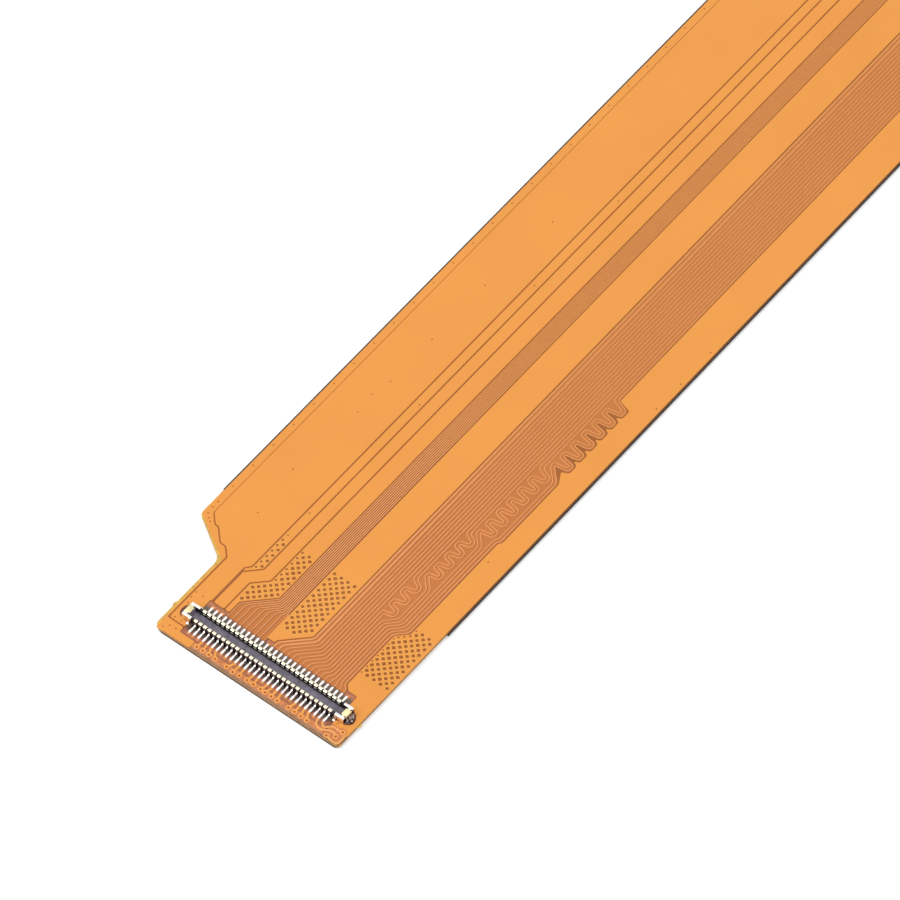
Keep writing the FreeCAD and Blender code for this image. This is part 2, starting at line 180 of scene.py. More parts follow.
# %% Short forms of the common nodes
def math_node(tree, operation, *values):
    """Result of a sum over values or outputs."""
    return add_node(tree, "Math", dict(enumerate(values)), operation=operation).outputs[0]


def noise_node(tree, where, scale, detail):
    """Noise over a place, from 0 to 1."""
    return add_node(tree, "TexNoise", {"Vector": where, "Scale": scale, "Detail": detail}).outputs[0]


def range_node(tree, value, start, end, low=0.0, high=1.0, **settings):
    """Goes from low to high while a value goes from start to end."""
    spans = {"Value": value, "From Min": start, "From Max": end, "To Min": low, "To Max": high}
    return add_node(tree, "MapRange", spans, **settings).outputs[0]


def mix_node(tree, factor, first, second, data_type="RGBA", blend_type="MIX"):
    """Mix of two colours or values."""
    inputs = {"Factor": factor, "A": first, "B": second}
    return add_node(tree, "Mix", inputs, data_type=data_type, blend_type=blend_type).outputs["Result"]


short_forms = (math_node, noise_node, range_node, mix_node)
print("short forms made:", [form.__name__ for form in short_forms])


# %% Starting and feeding a material
def new_material(name, constants):
    """Material whose shader has constant values on its own sockets."""
    material = bpy.data.materials.new(name)
    material.use_nodes = True
    for socket, value in constants.items():
        material.node_tree.nodes["Principled BSDF"].inputs[socket].default_value = value
    return material


def feed(material, color, roughness, height, depth, strength=0.5):
    """Links a colour, a roughness and the bumps of a height to a material's shader."""
    tree = material.node_tree
    relief = add_node(tree, "Bump", {"Height": height, "Distance": depth, "Strength": strength})
    shader = tree.nodes["Principled BSDF"]
    tree.links.new(color, shader.inputs["Base Color"])
    tree.links.new(roughness, shader.inputs["Roughness"])
    tree.links.new(relief.outputs["Normal"], shader.inputs["Normal"])


print("node helpers ready")

# %% [markdown]
# ## Floor and light
# A white sheet lies under the cable. It is seen as pure white, because it adds a little light of its
# own for the camera and for mirror-like reflections, but it still takes the cable's soft shadow.
# Light comes from a bright sky that is darker near the horizon, so that metal has something to show,
# and from one broad lamp. Mirror-like reflections see the sky a quarter brighter than matt surfaces do.

# %% Floor
FLOOR_HALF = 0.5
FLOOR_GLOW = 0.37
PAPER_LOOK = {
    "Base Color": (0.88, 0.88, 0.88, 1),
    "Roughness": 0.9,
    "Specular IOR Level": 0.1,
    "Emission Color": (1, 1, 1, 1),
}

bpy.ops.object.select_all(action="DESELECT")
bpy.ops.mesh.primitive_plane_add(size=2 * FLOOR_HALF, location=(0, 0, 0))
floor = bpy.context.object
floor.name = "studio_floor"

paper = new_material("studio_paper", PAPER_LOOK)
tree = paper.node_tree
ray = add_node(tree, "LightPath", {}).outputs
seen = math_node(tree, "MAXIMUM", ray["Is Camera Ray"], ray["Is Glossy Ray"])
glow = math_node(tree, "MULTIPLY", seen, FLOOR_GLOW)
tree.links.new(glow, tree.nodes["Principled BSDF"].inputs["Emission Strength"])
floor.data.materials.append(paper)
print("floor", 2 * FLOOR_HALF, "m across")

# %% Sky and lamp
SKY_TOP = 0.92
SKY_RIM = 0.35
SKY_FULL_HEIGHT = 0.75
MIRROR_LIFT = 0.25
LAMP_PLACE = (-0.35, 0.35, 0.55)
LAMP_SIZE = 0.50
LAMP_WATTS = 1.6

world = bpy.data.worlds.new("studio_sky")
bpy.context.scene.world = world
world.use_nodes = True
sky = world.node_tree
direction = add_node(sky, "TexCoord", {}).outputs["Generated"]
rise = add_node(sky, "SeparateXYZ", {0: direction}).outputs["Z"]
sky_light = range_node(sky, rise, 0.0, SKY_FULL_HEIGHT, SKY_RIM, SKY_TOP)
ray = add_node(sky, "LightPath", {}).outputs
lift = math_node(sky, "MULTIPLY_ADD", ray["Is Glossy Ray"], MIRROR_LIFT, 1.0)
lifted = math_node(sky, "MULTIPLY", sky_light, lift)
strength = mix_node(sky, ray["Is Camera Ray"], lifted, 1.0, data_type="FLOAT")
background = sky.nodes["Background"]
background.inputs["Color"].default_value = (1, 1, 1, 1)
sky.links.new(strength, background.inputs["Strength"])

bpy.ops.object.select_all(action="DESELECT")
bpy.ops.object.light_add(type="AREA", location=LAMP_PLACE)
lamp = bpy.context.object
lamp.name = "studio_lamp"
lamp.data.size = LAMP_SIZE
lamp.data.energy = LAMP_WATTS
lamp.rotation_mode = "QUATERNION"
lamp.rotation_quaternion = (aim - lamp.location).to_track_quat("-Z", "Y")
bpy.context.scene.view_settings.view_transform = "Standard"
print("sky from", SKY_RIM, "to", SKY_TOP)

# %% [markdown]
# ## Reading the copper's outlines from the frame
# The CAD model already holds every copper area and every track as a thin flat solid. The relief in the
# cover film follows the same outlines, so they are read from the frame instead of being typed again:
# the rim of the faces that look up, as closed rings. The picture shows some things finer than the CAD
# model has them: the clear margins differ from side to side, the openings round the clips are rounded,
# and the copper has a few more steps at the neck and the corner. There the rings are redrawn a little.


# %% Rings round the upward faces of a node
def selected_only(piece):
    """Makes one object the only selected and active one."""
    bpy.ops.object.select_all(action="DESELECT")
    piece.select_set(True)
    bpy.context.view_layer.objects.active = piece


def top_rings(node):
    """Rings of (x, y) in millimetres round the topmost upward faces of a CAD node."""
    mesh = bmesh.new()
    mesh.from_mesh(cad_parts[node].data)
    bmesh.ops.remove_doubles(mesh, verts=mesh.verts, dist=1e-7)
    height = max(vertex.co.z for vertex in mesh.verts)
    following = {}
    for face in mesh.faces:
        if face.normal.z < 0.9 or abs(face.verts[0].co.z - height) > 1e-6:
            continue
        for corner in face.loops:
            if all(other.normal.z < 0.9 for other in corner.edge.link_faces if other != face):
                following[corner.vert.index] = corner.link_loop_next.vert.index
    mesh.verts.ensure_lookup_table()
    rings = []
    while following:
        start, step = following.popitem()
        ring = [start]
        while step != start:
            ring.append(step)
            step = following.pop(step)
        rings.append([(mesh.verts[i].co.x / MM, mesh.verts[i].co.y / MM) for i in ring])
    mesh.free()
    return rings


raw_film_rings = top_rings("front_coverlay")
print("rings of the cover film:", len(raw_film_rings))

# %% Margins and corners that the picture shows
CABLE_HALF = cad_high[0] / MM
TAB_SIDE_Y = place(0, -2.25)[1]
STRAIGHT_Y = min(y for ring in raw_film_rings for x, y in ring)
STRIP_SIDE_Y = max(y for ring in raw_film_rings for x, y in ring)
COPPER_MARGIN = 0.16
SAME_PLACE = 0.02
END_MARGIN = 0.04
SIDE_MARGIN = 0.215
STRIP_MARGIN = 0.05
STRAIGHT_MARGIN = 0.05
# Corners of the CAD rings, each with the corners that take its place, in the order of travel at end a
REDRAWN = {
    (-0.71, -0.55): [(-0.60, -0.55)],
    (-0.71, -1.44): [(-0.60, -1.05), (-0.50, -1.36), (-0.30, -1.57)],
    (0.71, -1.44): [(0.0, -1.62), (0.35, -1.55), (0.60, -1.30)],
    (0.71, -0.55): [(0.60, -0.55)],
    (0.71, 12.15): [(0.60, 12.15)],
    (0.71, 13.32): [(0.60, 12.70), (0.48, 12.92), (0.28, 13.16)],
    (-0.71, 13.32): [(0.02, 13.28), (-0.26, 13.28), (-0.46, 13.06), (-0.60, 12.75)],
    (-0.71, 12.15): [(-0.60, 12.15)],
    (-1.36, 12.15): [(-1.00, 12.15), (-0.97, 12.85), (-0.86, 13.02), (-0.86, 13.32), (-1.02, 13.46)],
    (7.2, -4.87): [(7.51, -4.93)],
    (5.77, -2.86): [(6.77, -4.23), (6.77, -3.92), (5.82, -3.01)],
    (5.77, -2.49): [(5.82, -2.54)],
    (5.66, -2.53): [(5.72, -2.58)],
    (5.66, -2.9): [(5.72, -3.05), (6.67, -3.96), (6.67, -4.27)],
    (7.14, -4.98): [(7.41, -4.97)],
    (3.98, 4.54): [(3.98, 4.39)],
    (1.7, 4.54): [(1.7, 4.39)],
}
print("straight edge at y %.2f mm, tab's side at %.2f mm" % (STRAIGHT_Y, TAB_SIDE_Y))


# %% Redrawn rings
def redrawn(ring):
    """Ring with its edge moved to where the picture shows it."""
    moved = []
    for x, y in ring:
        end = "a" if x < 0 else "b"
        corner = round(abs(PLUG_X) - abs(x), 2), round(FIRST_COLUMN_Y - y, 2)
        if corner in REDRAWN:
            turned = 1 if end == "a" else -1
            moved += [place(*point, end) for point in REDRAWN[corner][::turned]]
            continue
        if abs(abs(x) - (CABLE_HALF - COPPER_MARGIN)) < SAME_PLACE:
            x = math.copysign(CABLE_HALF - END_MARGIN, x)
        if abs(y - (TAB_SIDE_Y - COPPER_MARGIN)) < SAME_PLACE:
            y = TAB_SIDE_Y - SIDE_MARGIN
        if abs(y - (STRIP_SIDE_Y - COPPER_MARGIN)) < SAME_PLACE:
            y = STRIP_SIDE_Y - STRIP_MARGIN
        if abs(y - (STRAIGHT_Y + COPPER_MARGIN)) < SAME_PLACE:
            y = STRAIGHT_Y + STRAIGHT_MARGIN
        moved.append((x, y))
    return moved


film_rings = [redrawn(ring) for ring in raw_film_rings]
ground_rings = [redrawn(ring) for ring in top_rings("front_ground_areas")]
copper_rings = [redrawn(ring) for ring in top_rings("back_ground_plane")]
print("rings: ground", len(ground_rings), "cover film", len(film_rings), "copper outline", len(copper_rings))


# %% Centre lines of the tracks
def centre_line(ring):
    """Line midway between the two long sides of a track's ring, from end a to end b."""
    count = len(ring)
    start = min(range(count), key=lambda i: ring[i][0] + ring[(i + 1) % count][0])
    half = count // 2
    line = []
    for k in range(half):
        one = ring[(start + 1 + k) % count]
        other = ring[(start - k) % count]
        line.append(((one[0] + other[0]) / 2, (one[1] + other[1]) / 2))
    return line


def across_the_middle(line):
    """Y at the middle of the cable, to put the tracks in order."""
    return max(zip(line, line[1:]), key=lambda leg: leg[1][0] - leg[0][0])[0][1]


def track_lines(node):
    """Centre lines of a node's tracks, the one furthest from the straight edge first."""
    lines = [centre_line(ring) for ring in top_rings(node)]
    return sorted(lines, key=across_the_middle, reverse=True)


narrow_lines = track_lines("narrow_track_group")
wide_lines = track_lines("wide_track_group")
print("tracks:", len(narrow_lines), "narrow and", len(wide_lines), "wide")

# %% [markdown]
# ## Soft corners
# Etched copper has no sharp corners. Each corner of a line or ring is replaced by a short arc. The arc's
# reach is never more than a share of the two straight runs beside it, so parallel tracks stay parallel.


# %% Round the corners of a line or ring
def soften(points, reach, closed=False, steps=4, share=0.46):
    """The line with each corner rounded over a reach along both runs."""
    count = len(points)
    soft = []
    for i, here in enumerate(points):
        if not closed and i in (0, count - 1):
            soft.append(here)
            continue
        here = Vector(here)
        back = Vector(points[i - 1]) - here
        ahead = Vector(points[(i + 1) % count]) - here
        turn_angle = math.pi - back.angle(ahead, 0)
        if turn_angle < math.radians(8):
            soft.append(tuple(here))
            continue
        run = min(reach, share * back.length, share * ahead.length)
        first = here + back.normalized() * run
        last = here + ahead.normalized() * run
        for k in range(steps + 1):
            t = k / steps
            point = first * (1 - t) ** 2 + here * 2 * t * (1 - t) + last * t ** 2
            soft.append(tuple(point))
    return soft


print("corners after rounding:", len(soften(wide_lines[-1], 0.3)))

# %% [markdown]
# ## Sheets and ridges
# A copper area under the film is a low plateau with round shoulders: a flat filled curve gives that in
# one go, with its openings as inner rings. A track is a low ridge: a curve with a small D-shaped
# section. Both are made in millimetres, because Blender fills tiny curves badly, then turned into a
# mesh, scaled and put in place.


# %% Clean mesh from a curve
MERGE_WITHIN = 0.0005


def settle():
    """Writes the selected object's place, turn and scale into its mesh."""
    bpy.ops.object.transform_apply(location=True, rotation=True, scale=True)


def face_outwards(merge_within=0.0):
    """Turns the active object's faces outwards, after a merge of its doubles where that is asked."""
    bpy.ops.object.mode_set(mode="EDIT")
    bpy.ops.mesh.select_all(action="SELECT")
    if merge_within:
        bpy.ops.mesh.remove_doubles(threshold=merge_within)
    bpy.ops.mesh.normals_make_consistent(inside=False)
    bpy.ops.object.mode_set(mode="OBJECT")


def finish_curve(name, curve, lift):
    """Turns a curve in millimetres into a clean mesh in metres at a height in millimetres."""
    piece = bpy.data.objects.new(name, curve)
    bpy.context.collection.objects.link(piece)
    selected_only(piece)
    bpy.ops.object.convert(target="MESH")
    piece = bpy.context.object
    face_outwards(MERGE_WITHIN)
    piece.scale = (MM, MM, MM)
    piece.location.z = lift * MM
    settle()
    return piece


print("points merge within %.1f micrometres" % (1000 * MERGE_WITHIN))


# %% Sheets
def add_line(curve, points, closed):
    """Adds straight runs through the points to a curve."""
    line = curve.splines.new("POLY")
    line.points.add(len(points) - 1)
    for knot, (x, y) in zip(line.points, points):
        knot.co = (x, y, 0, 1)
    line.use_cyclic_u = closed


def ring_area(ring):
    """Area inside a ring, greater than zero where it runs anticlockwise."""
    return sum(x0 * y1 - x1 * y0 for (x0, y0), (x1, y1) in zip(ring, ring[1:] + ring[:1])) / 2


def anticlockwise(ring):
    """The ring, turned round where it runs clockwise."""
    return ring if ring_area(ring) > 0 else ring[::-1]


def sheet(name, rings, low, high, shoulder=0.002):
    """Flat sheet between two heights inside rings, with round shoulders. Clockwise rings are openings."""
    curve = bpy.data.curves.new(name, "CURVE")
    curve.dimensions = "2D"
    curve.fill_mode = "BOTH"
    curve.bevel_depth = shoulder
    curve.bevel_resolution = 1
    curve.offset = -shoulder
    curve.extrude = (high - low) / 2 - shoulder
    for ring in rings:
        add_line(curve, ring, True)
    piece = finish_curve(name, curve, (low + high) / 2)
    filled = sum(face.area for face in piece.data.polygons if face.normal.z > 0.99) / MM ** 2
    print(name, "area %.2f, filled %.2f square mm" % (sum(ring_area(ring) for ring in rings), filled))
    return piece


print("area of a one millimetre square:", ring_area([(0, 0), (1, 0), (1, 1), (0, 1)]))

# %% Ridges
SECTION_SIDES = 8


def ridges(name, lines, width, foot, crown):
    """Low ridges with a rounded section along lines."""
    section = bpy.data.curves.new(name + "_section", "CURVE")
    section.dimensions = "2D"
    shape = []
    reach = width / 2 / math.cos(math.pi / SECTION_SIDES)
    for k in range(SECTION_SIDES):
        angle = math.tau * (k + 0.5) / SECTION_SIDES
        shape.append((reach * math.cos(angle), (crown - foot) * math.sin(angle)))
    add_line(section, shape, True)
    section_piece = bpy.data.objects.new(name + "_section", section)
    bpy.context.collection.objects.link(section_piece)
    curve = bpy.data.curves.new(name, "CURVE")
    curve.dimensions = "3D"
    curve.twist_mode = "Z_UP"
    curve.bevel_mode = "OBJECT"
    curve.bevel_object = section_piece
    curve.use_fill_caps = True
    for line in lines:
        add_line(curve, line, False)
    piece = finish_curve(name, curve, foot)
    bpy.data.objects.remove(section_piece)
    return piece


print("sides of a ridge before its foot is sunk:", SECTION_SIDES)


# %% Dressing a piece
def dress(piece, material, slot, *nodes):
    """Gives a piece its material, its ride and the CAD nodes that it stands for. The slot is not used."""
    piece.data.materials.clear()
    piece.data.materials.append(material)
    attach(piece, "root")
    if nodes:
        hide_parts(*nodes)
    print(piece.name, "faces", len(piece.data.polygons), "in place of", nodes)


print("CAD nodes to dress:", len(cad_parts))


# %% [markdown]
# ## The film's finish
# Polyimide film over copper is a warm, slightly uneven amber with a satin surface. The unevenness is
# the same kind everywhere, only the colours differ, so it is one node group: soft clouds, a fine grain,
# and faint lines from the rolling of the film along the strip.


# %% Outside of a surface group
GIVES = ("Color", "Roughness", "Height")


def surface_group(name, colors, values):
    """Group with colour and value inputs, and its inner ends. It gives a colour, roughness and height."""
    group = bpy.data.node_groups.new(name, "ShaderNodeTree")
    sockets = [(label, "INPUT", "NodeSocketColor") for label in colors]
    sockets += [(label, "INPUT", "NodeSocketFloat") for label in values]
    sockets.append((GIVES[0], "OUTPUT", "NodeSocketColor"))
    sockets += [(label, "OUTPUT", "NodeSocketFloat") for label in GIVES[1:]]
    for label, way, kind in sockets:
        group.interface.new_socket(label, in_out=way, socket_type=kind)
    return group, group.nodes.new("NodeGroupInput").outputs


def give_out(group, *outputs):
    """Links a colour, a roughness and a height to what a group gives."""
    result = group.nodes.new("NodeGroupOutput")
    for output, socket in zip(outputs, result.inputs):
        group.links.new(output, socket)


print("a surface group gives", GIVES)


# %% Node group: rolled film
def rolled_film_group():
    """Group that varies a colour over the film."""
    group, entry = surface_group("rolled_film", ("Film Color", "Shade Color"), ("Cloud", "Gloss"))
    where = add_node(group, "TexCoord", {}).outputs["Object"]
    clouds = noise_node(group, where, 160, 3)
    grain = noise_node(group, where, 6500, 2)
    stretch = add_node(group, "Mapping", {"Vector": where, "Scale": (60, 2600, 60)})
    rolling = noise_node(group, stretch.outputs[0], 1, 2)
    both = math_node(group, "MULTIPLY_ADD", grain, 0.35, clouds)
    amount = math_node(group, "MULTIPLY", range_node(group, both, 0.45, 0.90), entry["Cloud"])
    color = mix_node(group, amount, entry["Film Color"], entry["Shade Color"])
    rough = math_node(group, "MULTIPLY_ADD", clouds, 0.16, entry["Gloss"])
    height = math_node(group, "MULTIPLY_ADD", rolling, 0.5, grain)
    give_out(group, color, rough, height)
    return group


rolled_film = rolled_film_group()
print("group", rolled_film.name, "with", len(rolled_film.nodes), "nodes")


# %% Film materials
def group_material(name, group, inputs, depth, constants):
    """Material with a group's colour, roughness and bumps, and constant values on its shader."""
    material = new_material(name, constants)
    surface = add_node(material.node_tree, "Group", inputs, node_tree=group).outputs
    feed(material, surface["Color"], surface["Roughness"], surface["Height"], depth)
    return material


def film_material(name, film, shade, cloud, gloss):
    """Amber film: two colours that drift into each other, satin, with a very low relief."""
    inputs = {"Film Color": film, "Shade Color": shade, "Cloud": cloud, "Gloss": gloss}
    return group_material(name, rolled_film, inputs, 0.000002, {"Specular IOR Level": 0.35})


film_on_copper = film_material("film_on_copper", tone(242, 160, 70), tone(236, 154, 66), 0.8, 0.38)
# Film over resin: its dark brown includes painted shade of the narrow gaps between copper
film_on_resin = film_material("film_on_resin", tone(172, 100, 42), tone(158, 88, 32), 0.8, 0.42)
film_on_bed = film_material("film_on_bed", tone(205, 124, 60), tone(197, 116, 54), 0.8, 0.42)
core_finish = film_material("bare_core", tone(190, 118, 78), tone(176, 106, 68), 0.8, 0.45)
print("film materials made")

# %% [markdown]
# ## Finishes that change round the plug
# Several finishes depend on the distance from the plug: flux with painted shade darkens the film near its
# walls, the housing is painted lighter in its groove, as lit there, and is dark outside, and the clear margin
# is olive over the stiffener but dark over the black shield. The tracks are crisp near the plug and pale
# further off. One node group measures the distance from the nearer plug's centre line and fades from one
# colour to another, with soft blotches.


# %% Node group: plug zone
def plug_zone_group():
    """Group that fades between two colours with the distance along from a plug's centre line."""
    values = ("Start", "End", "Blotch", "Gloss", "Mottle")
    group, entry = surface_group("plug_zone", ("Near Color", "Far Color"), values)
    where = add_node(group, "TexCoord", {}).outputs["Object"]
    split = add_node(group, "SeparateXYZ", {0: where})
    from_middle = math_node(group, "ABSOLUTE", split.outputs["X"])
    from_plug = math_node(group, "SUBTRACT", from_middle, abs(PLUG_X) * MM)
    away = math_node(group, "ABSOLUTE", from_plug)
    blotches = noise_node(group, where, 2400, 3)
    centred = math_node(group, "SUBTRACT", blotches, 0.5)
    wander = math_node(group, "MULTIPLY_ADD", centred, entry["Blotch"], away)
    zone = range_node(group, wander, entry["Start"], entry["End"], interpolation_type="SMOOTHSTEP")
    fade = mix_node(group, zone, entry["Near Color"], entry["Far Color"])
    patch = range_node(group, blotches, 0.3, 0.7, 0.62, 1.30)
    mottled = mix_node(group, entry["Mottle"], fade, patch, blend_type="MULTIPLY")
    rough = math_node(group, "MULTIPLY_ADD", blotches, 0.2, entry["Gloss"])
    give_out(group, mottled, rough, blotches)
    return group


plug_zone = plug_zone_group()
print("group", plug_zone.name, "with", len(plug_zone.nodes), "nodes")

# %% Materials of the plug zone
# The tracks' relief grows paler between these distances from the plug
PALER_AWAY = (12, 34)


def zone_material(name, near, far, span, blotch, gloss, metallic=0.0, mottle=0.6):
    """Finish that fades from near to far over a span of distances from the plug, in millimetres."""
    inputs = {"Near Color": near, "Far Color": far, "Start": span[0] * MM, "End": span[1] * MM}
    inputs.update({"Blotch": blotch * MM, "Gloss": gloss, "Mottle": mottle})
    return group_material(name, plug_zone, inputs, 0.00001, {"Metallic": metallic})


def track_material(name, near, far, gloss):
    """Finish of the tracks' relief, nearly without mottle."""
    return zone_material(name, near, far, PALER_AWAY, 0, gloss, mottle=0.1)


film_margin = zone_material("film_margin", tone(224, 176, 76), tone(104, 74, 38), (8.6, 9.8), 0.1, 0.28)
edge_shade = zone_material("edge_shade", tone(120, 98, 74), tone(150, 118, 64), (2.3, 3.2), 0.3, 0.3)
end_bed_film = zone_material("end_bed_film", tone(214, 130, 74), tone(168, 122, 94), (1.95, 2.20), 0.15, 0.32)
# The next three finishes are flux with painted shade, darkest next to the housing and the clips
flux_outer = zone_material("flux_outer", tone(28, 18, 14), tone(176, 104, 70), (0.80, 1.30), 0.5, 0.2)
flux_inner = zone_material("flux_inner", tone(108, 93, 78), tone(186, 112, 74), (1.05, 1.55), 0.5, 0.2)
flux_clip = zone_material("flux_clip", tone(90, 52, 34), tone(160, 84, 50), (0.20, 0.55), 0.4, 0.2)
pad_finish = zone_material("pad_plating", tone(106, 78, 62), tone(228, 144, 72), (1.12, 1.28), 0.1, 0.2)
film_on_narrow = track_material("film_on_narrow", tone(248, 168, 102), tone(228, 150, 74), 0.34)
# Painted shade beside the narrow tracks' ridges
narrow_dip = track_material("narrow_dip", tone(112, 52, 12), tone(190, 118, 48), 0.4)
film_on_wide = track_material("film_on_wide", tone(240, 158, 92), tone(226, 148, 76), 0.34)
# Painted shade beside the wide tracks' ridges
wide_dip = track_material("wide_dip", tone(156, 84, 42), tone(198, 120, 56), 0.4)
print("plug zone materials made")

# %% [markdown]
# ## Cover film and its beds
# The cover film is one sheet with an opening round each plug. Where there is no copper under it, the film is
# dark brown, painted darker still with the shade of the narrow gaps where it mostly shows, and at its very
# edge, where the back has no copper either, it is clear yellow.
# Under the two groups of tracks it sags between them into a lighter, redder bed. The film and the field
# are made from the CAD outlines, the beds from the first and last tracks.

# %% Cover film, field and beds
LAMINATE_LOW = 0.298
FILM_TOP = 0.331
FIELD_TOP = 0.334
BED_TOP = 0.337
FIELD_LOW = LAMINATE_LOW + 0.01
SKIN_TOP = 0.35
# The cover film begins here, counted from the plug's centre line
FILM_EDGE = 1.38

windows = [ring for ring in film_rings if ring_area(ring) < 0]
cover = sheet("cover_film", film_rings, LAMINATE_LOW, FILM_TOP, 0.004)
dress(cover, film_margin, "coverlay", "front_coverlay")
field = sheet("resin_field", [copper_rings[0]] + windows, FIELD_LOW, FIELD_TOP)
dress(field, film_on_resin, "coverlay")


def within_film(line):
    """Line whose ends are drawn back from the tails to the film's edge."""
    reach = abs(PLUG_X) - FILM_EDGE
    return [(max(-reach, min(reach, x)), y) for x, y in line]


def bed_ring(first, last):
    """Ring between two track centre lines."""
    return soften(within_film(first), 0.3) + soften(within_film(last), 0.3)[::-1]


for name, lines in (("narrow_bed", narrow_lines), ("wide_bed", wide_lines)):
    outline = anticlockwise(bed_ring(lines[0], lines[-1]))
    dress(sheet(name, [outline], FIELD_LOW, BED_TOP), film_on_bed, "coverlay")

# %% [markdown]
# ## Stubs and edges
# Small stubs stand out of the film's edge where the cable was broken from its panel. In the CAD model
# they belong to the core film. Their clear, olive finish needs a thin sheet of its own round each. Along
# the tab's end and straight edge the cut film is darker, which thin strips on top of it give.

# %% Stubs and edge strips
STUB_LOW = 0.246
STUB_TOP = 0.304
# Each stub: place along and across of its foot, and the way it points across
STUBS = [(0.0, 13.69, 1), (0.0, -2.25, -1)]
STUB_OUTLINE = [(-0.26, -0.02), (-0.13, 0.102), (0.13, 0.102), (0.26, -0.02)]
# Each strip: its span along and its span across
EDGE_STRIPS = [((-2.275, -2.215), (-1.55, 13.30)), ((-1.95, 9.2), (13.59, 13.685))]


def rectangle(along, across, end):
    """Anticlockwise ring over a span along and a span across."""
    corners = [(along[i], across[j]) for i, j in ((0, 0), (1, 0), (1, 1), (0, 1))]
    return anticlockwise(places(corners, end))


stub_rings = []
for end in ENDS:
    for along, across, way in STUBS:
        outline = [(along + step, across + way * rise) for step, rise in STUB_OUTLINE]
        stub_rings.append(anticlockwise(places(outline, end)))
dress(sheet("edge_stubs", stub_rings, STUB_LOW, STUB_TOP), film_margin, "coverlay")
strips = [rectangle(*spans, end) for end in ENDS for spans in EDGE_STRIPS]
dress(sheet("edge_strips", strips, FILM_TOP - 0.006, FILM_TOP + 0.008, 0.003), edge_shade, "coverlay")

# %% [markdown]
# ## Ground areas
# The ground areas are the large plateaus. They are not plain: near the plug they are etched as a mesh of
# small diamonds, so that the tab bends more easily, and small holes with plated walls stitch them to the
# copper on the back. Diamonds and holes are inner rings of the same sheet. Etching leaves no two
# diamonds quite alike, so their sizes vary a little, always from the same start number, and along some
# sides of an area those that it cuts are left as small ones. The film bulges over the thin copper between the
# diamonds, and a narrow rim of painted highlight round each larger one makes it look lighter.


# %% Finding places inside a ring
def inside(point, ring):
    """Whether a point lies inside a ring."""
    x, y = point
    odd = False
    for (x0, y0), (x1, y1) in zip(ring, ring[1:] + ring[:1]):
        if (y0 > y) != (y1 > y) and x < x0 + (y - y0) / (y1 - y0) * (x1 - x0):
            odd = not odd
    return odd


def nearest_side(point, rings):
    """Distance from a point to the nearest side of any ring, and the place on that side."""
    nearest = math.inf, None
    here = Vector(point)
    for ring in rings:
        for start, end in zip(ring, ring[1:] + ring[:1]):
            first, run = Vector(start), Vector(end) - Vector(start)
            share = max(0, min(1, (here - first).dot(run) / max(run.length_squared, 1e-12)))
            foot = first + run * share
            if (here - foot).length < nearest[0]:
                nearest = (here - foot).length, foot
    return nearest


edge_room = nearest_side(place(0, 6), ground_rings)[0]
print("from the plug's middle to the nearest ground copper: %.2f mm" % edge_room)


# %% Shapes of the openings
def diamond(centre, size):
    """Clockwise diamond with soft corners that differ a little."""
    x, y = centre
    reach = [size * chance.uniform(0.90, 1.06) for _ in range(4)]
    corners = [(x + reach[0], y), (x, y - reach[1]), (x - reach[2], y), (x, y + reach[3])]
    return soften(corners, 0.2 * size, closed=True, steps=1)


def grown(ring, centre, margin):
    """Ring round a centre, made larger by a margin."""
    moved = []
    for x, y in ring:
        out = Vector((x, y)) - Vector(centre)
        moved.append(tuple(Vector(centre) + out + out.normalized() * margin))
    return moved


def round_hole(centre, radius, sides=8):
    """Clockwise ring round a centre."""
    angles = [-math.tau * k / sides for k in range(sides)]
    return [(centre[0] + radius * math.cos(a), centre[1] + radius * math.sin(a)) for a in angles]


def far_ring(ring):
    """The same ring at the far end."""
    return [(-x, y) for x, y in ring][::-1]


print("corners of a hole:", len(round_hole((0, 0), 1)))

# %% Places of the openings
DIAMOND_HALF = 0.198
# Width of the painted highlight rim round a larger diamond
HIGHLIGHT_RIM_WIDTH = 0.045
DIAMOND_RIM = 0.05
DIAMOND_LEAST = 0.08
# Diamonds larger than this get a painted highlight rim
HIGHLIGHT_FROM_SIZE = 0.12
HATCH_STEP = 0.2865
# Each patch of mesh: first and last place along, the same across, a place in the area that it lies in,
# the place of one full diamond, and the sides where cut diamonds still leave small ones
HATCH_PATCHES = [
    ((5.70, 8.60), (0.05, 0.62), (7.0, 0.30), (8.01, 0.15), ()),
    ((3.00, 8.60), (0.80, 2.90), (5.0, 2.20), (8.01, 1.31), (-1,)),
    ((3.00, 8.60), (4.30, 6.72), (5.0, 5.50), (8.01, 4.67), (-1,)),
    ((3.20, 8.60), (10.95, 13.45), (5.0, 12.0), (8.05, 11.58), (-1, 1)),
]
STITCH_HOLES = [(9.95 + 2.2 * k, -5.31) for k in range(44)]
NECK_HOLES = [(8.33, -5.28), (7.75, -5.28), (7.17, -5.22), (6.88, -4.92), (6.72, -4.67)]
TAB_HOLES = [
    (1.62, -1.72), (1.62, -1.13), (1.1, -1.72), (0.6, -1.6), (-0.85, -1.55),
    (-0.85, -1.0), (-1.6, -1.4), (-1.55, -0.9), (-1.93, -1.7), (-0.78, 12.47),
]
FIELD_HOLES = [
    (13.6, -3.0), (9.3, -2.6), (11.45, 0.2), (9.1, 0.2), (20.1, -2.55), (21.9, -2.7),
    (23.5, -2.4), (28.1, -2.4), (34.0, -2.4), (41.2, -2.1), (23.2, 0.4), (36.1, 0.3),
    (45.5, 0.35), (23.3, 4.3), (15.8, 12.2), (33.0, 13.34), (35.7, 13.36), (39.1, 13.33),
]
HOLE_RADIUS = 0.06
print("patches of mesh:", len(HATCH_PATCHES), "holes on a tab:", len(TAB_HOLES + NECK_HOLES))

